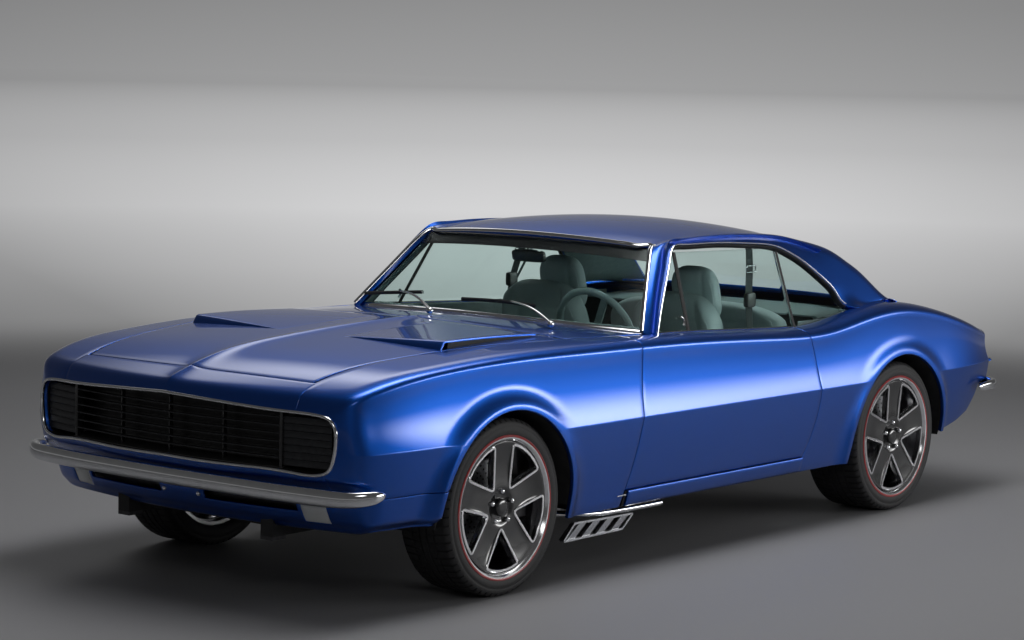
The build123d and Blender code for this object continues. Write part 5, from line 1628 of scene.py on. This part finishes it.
def wheel_face(outer):
    """Five broad spokes between V windows, one sheet about the wheel axis."""
    face_y = outer - SPOKE_SET
    rise = face_y + SPOKE_RISE
    u = np.linspace(-1, 1, 15)
    full = np.radians(HALF_TURN)
    narrow = np.radians(WINDOW_SPAN)
    sheets = []
    for k in range(WINDOWS):
        turn = np.radians(90 + 2 * HALF_TURN * k)
        hub = []
        for r in np.linspace(CAP_R - 4, WINDOW_IN_R, 6):
            y = face_y - 9 * ease((WINDOW_IN_R - r) / 30)
            hub.append(dots(r * np.cos(full * u), y, r * np.sin(full * u)))
        spoke = []
        for t in np.linspace(0, 1, 14):
            a = WINDOW_IN_R * np.column_stack([np.cos(full * u), np.sin(full * u)])
            b = WINDOW_OUT_R * np.column_stack([np.cos(narrow * u), np.sin(narrow * u)])
            p = a * (1 - t) + b * t
            y = face_y - 5 * math.sin(math.pi * t) * (1 - u ** 6) + SPOKE_RISE * t * t
            spoke.append(dots(p[:, 0], y, p[:, 1]))
        parts = [np.stack(hub), np.stack(spoke)]
        for lo, hi, n in ((-full, -narrow, 9), (-narrow, narrow, 15), (narrow, full, 9)):
            angle = np.linspace(lo, hi, n)
            band = [dots(r * np.cos(angle), y, r * np.sin(angle))
                    for r, y in ((WINDOW_OUT_R, rise), (WINDOW_OUT_R + 8, rise + 1))]
            parts.append(np.stack(band))
        c, s = math.cos(turn), math.sin(turn)
        for part in parts:
            x, z = part[..., 0], part[..., 2]
            sheets.append(np.stack([x * c - z * s, part[..., 1], x * s + z * c], -1))
    return sheet_mesh(*sheets)


def window_frame(outer):
    """Bright border of one V window, the first one after the upright spoke."""
    way = np.radians(90 + HALF_TURN)
    half = np.radians(HALF_TURN - WINDOW_SPAN)
    turn = way + np.linspace(half, -half, 9)
    arc = [(WINDOW_OUT_R * math.cos(a), WINDOW_OUT_R * math.sin(a)) for a in turn]
    tip = (WINDOW_IN_R * math.cos(way), WINDOW_IN_R * math.sin(way))
    loop = soft_corners([tip] + arc, [22, 18] + [0] * 7 + [18])
    t = (np.hypot(loop[:, 0], loop[:, 1]) - WINDOW_IN_R) / (WINDOW_OUT_R - WINDOW_IN_R)
    path = dots(loop[:, 0], outer - SPOKE_SET + SPOKE_RISE * np.clip(t, 0, 1) ** 2, loop[:, 1])
    profile = [(-5.5, -18), (-5.5, 1), (-4, 2.6), (4, 2.6), (5.5, 1), (5.5, -18)]
    return turned_out(sweep(path, profile, up=(0, 1, 0), closed=True))


def build_wheels():
    for end, x, outer, width in WHEELS:
        body = "wheel_" + end + "_{}"
        axle = (x, 0, TYRE_R)
        pitch = 360 / TREAD_PITCHES
        repeated_pair(f"tyre_{end}", tyre_sector(outer, width), TREAD_PITCHES, axle, (0, 0, 0), -pitch,
                      RUBBER, body, "tyre", ("tyre_" + end + "_{}",))
        barrel = ((228, width - 40), (240, width - 18), (253, width - 18), (253, 40))
        rim = turned(RIM + barrel, outer, x, TYRE_R, 120)
        pair(f"rim_{end}", rim, POLISHED, "alloy", ("wheel_" + end + "_{}",), body, outward=True)
        red = turned(RED_RING, outer, x, TYRE_R, 120)
        pair(f"rim_line_{end}", red, RED_LINE, "alloy", (), body, outward=True)
        points, faces = wheel_face(outer)
        spokes = shell(points + (x, 0, TYRE_R), faces, depth=SPOKE_T, roll=1.5)
        pair(f"spokes_{end}", spokes, GLOSS_BLACK, "alloy", (), body)
        around = (axle, (0, 0, 0), 2 * HALF_TURN)
        repeated_pair(f"window_frames_{end}", window_frame(outer), WINDOWS, *around, POLISHED, body,
                      "alloy")
        face = outer - SPOKE_SET
        cap = turned(CAP, face, x, TYRE_R, 48)
        pair(f"cap_{end}", cap, GLOSS_BLACK, "alloy", (), body, outward=True)
        p, f = turned_out(turned(NUT, face, 0, 0, 12))
        repeated_pair(f"lugs_{end}", (p + (0, 0, LUG_CIRCLE_R), f), WINDOWS, *around, CHROME, body,
                      "alloy")
        # Painted shade: black dots on each disc face stand for the shade inside drilled holes
        p, f = turned_out(turned(DISC_HOLE_SHADE, outer - DISC_SET, 0, 0, 10))
        holes = []
        for k, r in enumerate(HOLE_CIRCLES):
            a = math.radians(5 * k)
            holes.append((p + (r * math.sin(a), 0, r * math.cos(a)), f))
        repeated_pair(f"disc_holes_{end}", join(*holes), HOLE_ROWS, axle, (0, 0, 0), 360 / HOLE_ROWS,
                      BLACK, body, "steel")


# Hood vents, wipers and side outlets
VENT_IN_Y = 165.0
VENT_OUT_Y = 650.0
VENT_FRONT_X = 1556.0
VENT_REAR_X = 985.0
VENT_RISE = 31.0
WIPER_LINES = (
    ("right", (808.5, -40.0), (478, -473, 979), ((435, -722, 955), (478, -473, 979), (489, -347, 990))),
    ("left", (723.5, 520.0), (516, 162, 985), ((522, -104, 981), (516, 162, 985), (510, 278, 979))),
)
OUTLET = (560.0, 1004.0, 153.0, 206.0)


def build_hood_vents():
    """Raised vents that open outwards, with a dark sheet in each slot as painted shade inside the vent.
    """
    y = np.linspace(VENT_IN_Y, VENT_OUT_Y, 24)
    u = (y - VENT_IN_Y) / (VENT_OUT_Y - VENT_IN_Y)
    front = VENT_FRONT_X - 34 * u
    rise = VENT_RISE * u ** 1.1
    rows = []
    for s, lift in ((-0.075, -0.6), (-0.045, 0.25), (-0.02, 0.86), (0.0, 1.0)):
        x = front - (front - VENT_REAR_X) * s * np.maximum(u, 0.12)
        rows.append(dots(x, y, top_z(x, y) + rise * lift - 6 * (lift < 0)))
    for s in np.linspace(0, 1, 26)[1:]:
        x = front + (VENT_REAR_X - front) * s
        rows.append(dots(x, y, top_z(x, y) + rise * (1 - 0.6 * s)))
    pair("vent_top", skin(rows, depth=7, roll=1.5), PAINT, "paint", (), "hood", outward=True)
    # Painted shade: a dark sheet set 9 mm inside each vent's open side stands for the shade in the
    # slot, in the rubber seal finish
    x = np.linspace(VENT_REAR_X + 14, VENT_FRONT_X - 60, 30)
    wall = []
    for s in np.linspace(0, 1, 4):
        z = top_z(x, VENT_OUT_Y) - 6 + VENT_RISE * 0.95 * s * (0.4 + 0.6 * np.linspace(0, 1, 30))
        wall.append(dots(x, VENT_OUT_Y - 9.0, z))
    pair("vent_painted_shade", skin(np.stack(wall)[::-1], depth=5, roll=0.5), SEAL, "black", (), "hood",
         outward=True)


def build_wipers():
    """Bright arms from ball pivots on the cowl to blades that lie on the glass."""
    off = np.array((9.0, 0, 9.0))
    for label, pivot, end, blade in WIPER_LINES:
        px, py = pivot
        z = float(top_z(px, py)) + 14
        ball, faces = rounded_box((14, 14, 14), 2.2, 10)
        post = sweep(line([(px, py, z - 40), (px, py, z - 14), (px, py, z)], 6), round_profile(11, 11))
        tip = np.array(end) + off
        rise = np.array((px, py, z + 8.0))
        arm = sweep(line([rise, rise + (tip - rise) * 0.45 + (0, 0, 20), tip + (4, 0, 6)], 24),
                    round_profile(8, 4.5))
        obj = piece(f"wiper_{label}", join((ball + (px, py, z + 4), faces), post, arm), CHROME,
                    slot="chrome", outward=True)
        rubber = sweep(np.array(line([np.array(p) + off for p in blade], 24)),
                       [(-4, -6), (4, -6), (5, 4), (0, 9), (-5, 4)])
        piece(f"wiper_blade_{label}", rubber, BLACK, slot="black", outward=True)
        if label == "left":
            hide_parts("wipers")


def build_exhaust():
    x0, x1, z0, z1 = OUTLET
    lean = 68.0
    corners = [(x0, z1), (x0 + lean, z0), (x1, z0 - 4), (x1 - lean, z1 + 6)]
    loop = soft_corners(corners, [8, 8, 8, 8])
    loop = dots(loop[:, 0], 822.0, loop[:, 1])
    rim = turned_out(sweep(loop, [(-4, -14), (-4, 6), (4, 6), (4, -14)], up=(0, 1, 0), closed=True))
    pair("outlet_frame", rim, STEEL, "steel")
    # Painted shade: a black sheet behind the fins stands for the shade inside the outlet
    back = []
    for s in np.linspace(0, 1, 6):
        z = z0 + (z1 - z0) * s
        back.append(dots(np.linspace(x0 + lean * (1 - s), x1 - lean * s, 20), 806.0, z))
    pair("outlet_painted_shade", skin(np.stack(back)[:, ::-1], depth=4, roll=0.5), BLACK, "black", outward=True)
    fin = []
    for s, y in ((0.1, 808), (0.02, 820), (0.98, 824), (0.9, 808)):
        z = z0 + (z1 - z0) * s
        fin += [(x0 + 22 + lean * (1 - s), y, z), (x0 + 74 + lean * (1 - s), y + 2, z)]
    faces = [[2, 3, 5, 4], [0, 2, 4, 6], [1, 7, 5, 3], [0, 1, 3, 2], [4, 5, 7, 6], [0, 6, 7, 1]]
    seed = turned_out((np.array(fin, float), faces))
    repeated_pair("outlet_fins", seed, 4, (0, 0, 0), (92, 0, 0), 0, STEEL, "body", "steel")
    pipe = line([(366, 818, 226), (480, 818, 226), (640, 818, 228), (780, 814, 232), (900, 780, 238),
                 (1000, 700, 244)], 60)
    pair("side_pipe", sweep(pipe, round_profile(13, 13, 20)), CHROME, "chrome", outward=True)
    link = line([(940, 690, 190), (900, 640, 205), (700, 560, 215), (420, 540, 220), (290, 540, 220)],
                40)
    pair("side_link", sweep(link, round_profile(24, 24, 20)), STEEL, "steel", outward=True)
    for side in ("left", "right"):
        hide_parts("exhaust")


# Cabin
SEAT_Y = 366.0
DASH_X = 432.0
DASH_Z = 918.0
DASH_HALF_Y = 736.0
GLASS_Z = 920.0
DOOR_CARD_Y = 777.0


def seat_pad(half, centre, tilt, wing, channels, span, power=3.4, n=40):
    """Crowned pad with raised side wings and sewn channels above, tilted about the Y axis."""
    p, f = rounded_box((1, 1, 1), power, n)
    unit = p.copy()
    face = ease((unit[:, 2] + 0.1) / 0.7)
    v = np.abs(unit[:, 1])
    lift = wing * ease((v - 0.52) / 0.3) * face
    crown = 0.14 * half[2] * (1 - v ** 2) * face
    groove = 7 * np.exp(-((v - 0.56) * half[1] / 7) ** 2)
    for k in range(channels):
        at = -span + 2 * span * k / max(channels - 1, 1)
        groove = groove + 6 * np.exp(-((unit[:, 0] - at) * half[0] / 7) ** 2) * (v < 0.56)
    p = unit * np.asarray(half, float)
    p[:, 2] += lift + crown - groove * face
    p[:, 1] *= 1 - 0.035 * (1 - unit[:, 0] ** 2) * (np.abs(unit[:, 2]) < 0.6)
    a = math.radians(tilt)
    x = p[:, 0] * math.cos(a) + p[:, 2] * math.sin(a)
    z = -p[:, 0] * math.sin(a) + p[:, 2] * math.cos(a)
    return dots(x, p[:, 1], z) + np.asarray(centre, float), f


def build_seats():
    cushion = seat_pad((250, 226, 62), (-196, SEAT_Y, 470), -5, 24, 5, 0.62)
    back = seat_pad((262, 224, 52), (-410, SEAT_Y, 752), 108, 36, 6, 0.6)
    rest = seat_pad((128, 116, 46), (-494, SEAT_Y, 984), 106, 0, 1, 2.0, power=3.2, n=30)
    base = box_mesh((-420, SEAT_Y - 205, 285), (0, SEAT_Y + 205, 430), 10, 10)
    for side, way in (("left", 1), ("right", -1)):
        for label, mesh in (("cushion", cushion), ("back", back), ("headrest", rest)):
            form = mesh if way == 1 else mirrored(mesh)
            obj = piece(f"seat_{label}_{side}", form, LEATHER, "body", "leather", outward=True,
                        smooth=60)
        form = base if way == 1 else mirrored(base)
        piece(f"seat_base_{side}", form, TRIM, "body", "trim", outward=True)
        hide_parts("front_seats")
    bench = seat_pad((165, 520, 58), (-900, 0, 545), -6, 10, 4, 0.6, n=44)
    bench_back = seat_pad((190, 516, 44), (-1062, 0, 722), 106, 12, 5, 0.6, n=44)
    for label, mesh in (("bench_cushion", bench), ("bench_back", bench_back)):
        obj = piece(label, mesh, LEATHER, "body", "leather", outward=True, smooth=60)
    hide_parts("rear_seat")


def build_linings():
    """Cabin trim inside the pillars, the roof rails and the window sills."""
    outer, _, _, inner = side_controls()
    fore = np.clip((outer[:, 0] + 300) / 400, -1, 1)
    rows = []
    for s in np.linspace(0, 1, 7):
        at = outer * (1 - s) + inner * s
        move = dots(-14 * s * fore, -24 + 8 * s, -6 - 14 * s)
        rows.append((at + move)[:len(at) - 6])
    pair("pillar_lining", skin(rows, depth=2, roll=0.5), TRIM, "trim", outward=True)
    sill = [(-24, -52), (-4, -52), (-3, -3), (-8, -1), (-20, -6)]
    for label, x0, x1, body in (("door", 372, -560, "door_{}"), ("quarter", -600, -1150, "body")):
        x = np.linspace(x0, x1, 40)
        path = np.array([(v, 786, float(top_z(v, 786.0)) - 1) for v in x])
        pair(f"{label}_sill", sweep(path, sill), TRIM, "trim", (), body, outward=True)


def build_cabin():
    build_seats()
    brow = soft_corners([(40, -236), (-92, -180), (-118, -52), (-100, -10), (20, 20), (104, 8),
                         (158, -24), (158, -236)],
                        [20, 40, 40, 30, 40, 20, 20, 20])
    y = np.linspace(-DASH_HALF_Y, DASH_HALF_Y, 25)
    behind = shield_x(0.0, GLASS_Z) - shield_x(y, GLASS_Z)
    path = dots(DASH_X - 0.75 * behind, y, DASH_Z - 14 * (y / DASH_HALF_Y) ** 2)
    piece("dash", sweep(path, brow), TRIM, slot="trim", stands_for=("dashboard",), outward=True)
    hood_loop = soft_corners([(-60, -120), (-70, -20), (-40, 8), (60, 10), (70, -120)],
                             [20, 30, 20, 20, 10])
    path = dots(385.0, np.linspace(205, 535, 13), 902.0)
    piece("dial_hood", sweep(path, hood_loop), TRIM, slot="trim", outward=True)
    strip = box_mesh((311, -700, 778), (330, 180, 816), 12, 10)
    piece("dash_strip", strip, CHROME, slot="chrome", outward=True)
    card = []
    for z in np.linspace(868, 360, 12):
        x = np.linspace(float(door_front(z)) - 70, float(door_rear(z)) + 40, 30)
        bulge = 16 * np.exp(-((z - 640) / 40) ** 2) * ((x < 300) & (x > -420))
        card.append(dots(x, DOOR_CARD_Y - bulge, z))
    pair("door_card", skin(np.stack(card)[:, ::-1], depth=3, roll=1), TRIM, "trim", (), "door_{}",
         outward=True)
    rows = []
    for z in np.linspace(884, 490, 8):
        x = np.linspace(-690, -1290, 20)
        rows.append(dots(x, 762 - 40 * ease((-x - 900) / 380), z))
    pair("quarter_card", skin(rows, depth=3, roll=1), TRIM, "trim", outward=True)
    rows = []
    for x in np.linspace(-1095, -1500, 12):
        y = np.linspace(-690, 690, 21)
        rows.append(dots(x, y, 868.0 - 0.02 * (x + 1095)))
    piece("rear_shelf", skin(rows, depth=6, roll=2), TRIM, slot="trim", outward=True)
    lining = roof_middle(side_controls()[3])[2:-2, 2:-2] - (0, 0, 26)
    piece("headliner", skin(lining, depth=2, roll=0.5), TRIM, slot="trim")
    mirror = seat_pad((14, 88, 24), (262, 34, 1166), 12, 0, 0, 0.5, power=5, n=14)
    stalk = sweep(line([(262, 34, 1180), (268, 32, 1205), (258, 30, 1236)], 10), round_profile(5, 5))
    piece("mirror", join(mirror, stalk), GLOSS_BLACK, slot="black", outward=True)
    strap = line([(-532, 606, 1200), (-505, 630, 1100), (-478, 648, 990), (-476, 660, 870),
                  (-482, 668, 700)], 30)
    web = sweep(strap, [(-24, -0.8), (24, -0.8), (24, 0.8), (-24, 0.8)], up=(0, 1, 0.3))
    pair("belt_strap", web, CARPET, "black", outward=True)
    reel = box_mesh((-508, 640, 950), (-446, 668, 1014), 6, 8)
    pair("belt_reel", reel, BLACK, "black", outward=True)
    ring = soft_corners([(-34, -14), (34, -14), (34, 14), (-34, 14)], [8] * 4)
    loop = dots(ring[:, 0] - 510, 634.0, ring[:, 1] + 1112)
    ring = turned_out(sweep(loop, round_profile(3, 3), up=(0, 1, 0), closed=True))
    pair("belt_ring", ring, CHROME, "chrome")


# Stage, light and camera
CAMERA_AT = (9.306, 7.255, 2.062)
CAMERA_YAW = 218.93
CAMERA_PITCH = -5.76
CAMERA_ROLL = 1.16
LENS = 97.14


def build_camera():
    yaw, pitch, roll = (math.radians(a) for a in (CAMERA_YAW, CAMERA_PITCH, CAMERA_ROLL))
    forward = Vector((math.cos(pitch) * math.cos(yaw), math.cos(pitch) * math.sin(yaw),
                      math.sin(pitch)))
    right = forward.cross(Vector((0, 0, 1))).normalized()
    up = right.cross(forward)
    right, up = (math.cos(roll) * right + math.sin(roll) * up,
                 -math.sin(roll) * right + math.cos(roll) * up)
    data = bpy.data.cameras.new("photo_view")
    data.sensor_width = 36
    data.lens = LENS
    data.clip_end = 200
    camera = bpy.data.objects.new("photo_view", data)
    bpy.context.collection.objects.link(camera)
    turn = Matrix((right, up, -forward)).transposed().to_4x4()
    turn.translation = CAMERA_AT
    camera.matrix_world = turn
    bpy.context.scene.camera = camera


def softbox(name, at, aim, size, power):
    """Area lamp that fades out softly towards its borders."""
    data = bpy.data.lights.new(name, "AREA")
    data.shape = "RECTANGLE"
    data.size, data.size_y = size
    data.energy = power
    data.use_nodes = True
    nodes, links = data.node_tree.nodes, data.node_tree.links
    place = nodes.new("ShaderNodeNewGeometry")
    split = nodes.new("ShaderNodeSeparateXYZ")
    links.new(place.outputs["Parametric"], split.inputs["Vector"])
    sides = []
    for axis in ("X", "Y"):
        wave = nodes.new("ShaderNodeMath")
        wave.operation = "PINGPONG"
        wave.inputs[1].default_value = 0.5
        links.new(split.outputs[axis], wave.inputs[0])
        soft = nodes.new("ShaderNodeMapRange")
        soft.interpolation_type = "SMOOTHSTEP"
        soft.inputs["From Max"].default_value = SOFTBOX_FADE
        links.new(wave.outputs[0], soft.inputs["Value"])
        sides.append(soft.outputs["Result"])
    both = combined(nodes, links, "MULTIPLY", *sides)
    links.new(both, nodes["Emission"].inputs["Strength"])
    lamp = bpy.data.objects.new(name, data)
    bpy.context.collection.objects.link(lamp)
    lamp.location = at
    lamp.rotation_euler = (Vector(aim) - Vector(at)).to_track_quat("-Z", "Y").to_euler()


FLOOR_HALF = 110.0
FLOOR_FADE = (5.0, 9.0)
FLOOR_LEVELS = ((0.045, 0.12), (0.075, 0.44), (0.12, 0.55), (0.20, 0.66), (0.40, 0.52), (1.0, 0.34))
SKY_SPAN = (-0.03, 0.57)
SKY_LEVELS = ((0.0, 0.34), (0.025, 0.34), (0.075, 0.27), (0.15, 0.22), (0.4, 0.20), (1.0, 0.18))
GLOW_WAY = (-0.79, -0.613, 0.0)
GLOW_LEVELS = ((0.0, 0.30), (0.6, 0.34), (0.86, 0.55), (0.96, 0.85), (1.0, 1.0))
SOFTBOX_FADE = 0.5
# Name, place, aim, size and power of each lamp
SOFTBOXES = (
    ("overhead", (0.0, 0.8, 5.2), (0.0, 0, 0.5), (7.5, 3.0), 700),
    ("left_wall", (-6.5, 8.2, 1.85), (-0.8, 0.8, 0.75), (12.0, 2.6), 1280),
    ("back_right", (-4.5, -6.0, 6.5), (0.5, 0, 0.9), (10.0, 4.0), 280),
    ("front_left", (7.0, 6.5, 4.6), (1.5, 0, 0.6), (6.0, 2.6), 190),
)


def level_ramp(nodes, links, value, low, high, stops):
    """Grey levels along a value, as (share of the way, level)."""
    reach = nodes.new("ShaderNodeMapRange")
    reach.inputs["From Min"].default_value = low
    reach.inputs["From Max"].default_value = high
    links.new(value, reach.inputs["Value"])
    shade = nodes.new("ShaderNodeValToRGB")
    while len(shade.color_ramp.elements) < len(stops):
        shade.color_ramp.elements.new(0.5)
    for element, (at, level) in zip(shade.color_ramp.elements, stops):
        element.position = at
        element.color = (level, level, level * 1.01, 1)
    links.new(reach.outputs["Result"], shade.inputs["Fac"])
    return shade.outputs["Color"]


def side_share(nodes, links, place):
    """How far a place lies towards the bright distance behind the car."""
    unit = nodes.new("ShaderNodeVectorMath")
    unit.operation = "NORMALIZE"
    links.new(place, unit.inputs[0])
    dot = nodes.new("ShaderNodeVectorMath")
    dot.operation = "DOT_PRODUCT"
    links.new(unit.outputs["Vector"], dot.inputs[0])
    dot.inputs[1].default_value = GLOW_WAY
    return level_ramp(nodes, links, dot.outputs["Value"], 0.5, 1.0, GLOW_LEVELS)


def build_stage():
    """Floor that runs out into a soft bright distance, a dim sky and large soft lamps."""
    material, nodes, links, bsdf = shader("studio_floor")
    bsdf.inputs["Base Color"].default_value = (0.26, 0.26, 0.27, 1)
    bsdf.inputs["Roughness"].default_value = 0.6
    place = nodes.new("ShaderNodeTexCoord")
    length = nodes.new("ShaderNodeVectorMath")
    length.operation = "LENGTH"
    links.new(place.outputs["Object"], length.inputs[0])
    shade = level_ramp(nodes, links, length.outputs["Value"], 0, FLOOR_HALF, FLOOR_LEVELS)
    glow = nodes.new("ShaderNodeEmission")
    links.new(shade, glow.inputs["Color"])
    links.new(side_share(nodes, links, place.outputs["Object"]), glow.inputs["Strength"])
    fade = nodes.new("ShaderNodeMapRange")
    fade.interpolation_type = "SMOOTHSTEP"
    fade.inputs["From Min"].default_value = FLOOR_FADE[0]
    fade.inputs["From Max"].default_value = FLOOR_FADE[1]
    links.new(length.outputs["Value"], fade.inputs["Value"])
    path = nodes.new("ShaderNodeLightPath")
    seen = combined(nodes, links, "ADD", path.outputs["Is Camera Ray"], path.outputs["Is Glossy Ray"])
    seen = combined(nodes, links, "ADD", seen, path.outputs["Is Transmission Ray"], clamp=True)
    share = combined(nodes, links, "MULTIPLY", fade.outputs["Result"], seen)
    mix = nodes.new("ShaderNodeMixShader")
    links.new(share, mix.inputs["Fac"])
    links.new(bsdf.outputs["BSDF"], mix.inputs[1])
    links.new(glow.outputs["Emission"], mix.inputs[2])
    links.new(mix.outputs["Shader"], nodes["Material Output"].inputs["Surface"])
    data = bpy.data.meshes.new("floor")
    half = FLOOR_HALF
    data.from_pydata([(-half, -half, 0), (half, -half, 0), (half, half, 0), (-half, half, 0)], [],
                     [(0, 1, 2, 3)])
    data.materials.append(material)
    floor = bpy.data.objects.new("floor", data)
    bpy.context.collection.objects.link(floor)
    world = bpy.data.worlds.new("studio")
    bpy.context.scene.world = world
    world.use_nodes = True
    nodes, links = world.node_tree.nodes, world.node_tree.links
    place = nodes.new("ShaderNodeTexCoord")
    split = nodes.new("ShaderNodeSeparateXYZ")
    links.new(place.outputs["Generated"], split.inputs["Vector"])
    shade = level_ramp(nodes, links, split.outputs["Z"], SKY_SPAN[0], SKY_SPAN[1], SKY_LEVELS)
    links.new(shade, nodes["Background"].inputs["Color"])
    links.new(side_share(nodes, links, place.outputs["Generated"]),
              nodes["Background"].inputs["Strength"])
    for name, at, aim, size, power in SOFTBOXES:
        softbox(name, at, aim, size, power)


build_camera()
build_panels()
build_greenhouse()
build_side_glass()
build_trim()
build_front()
build_wheels()
build_rear()
build_hood_vents()
build_wipers()
build_exhaust()
build_liners()
build_linings()
build_cabin()
build_sun_strip()
pair("rocker", shell(*rocker(), depth=8), PAINT, "paint")
build_stage()
bpy.context.scene.view_settings.view_transform = "Standard"
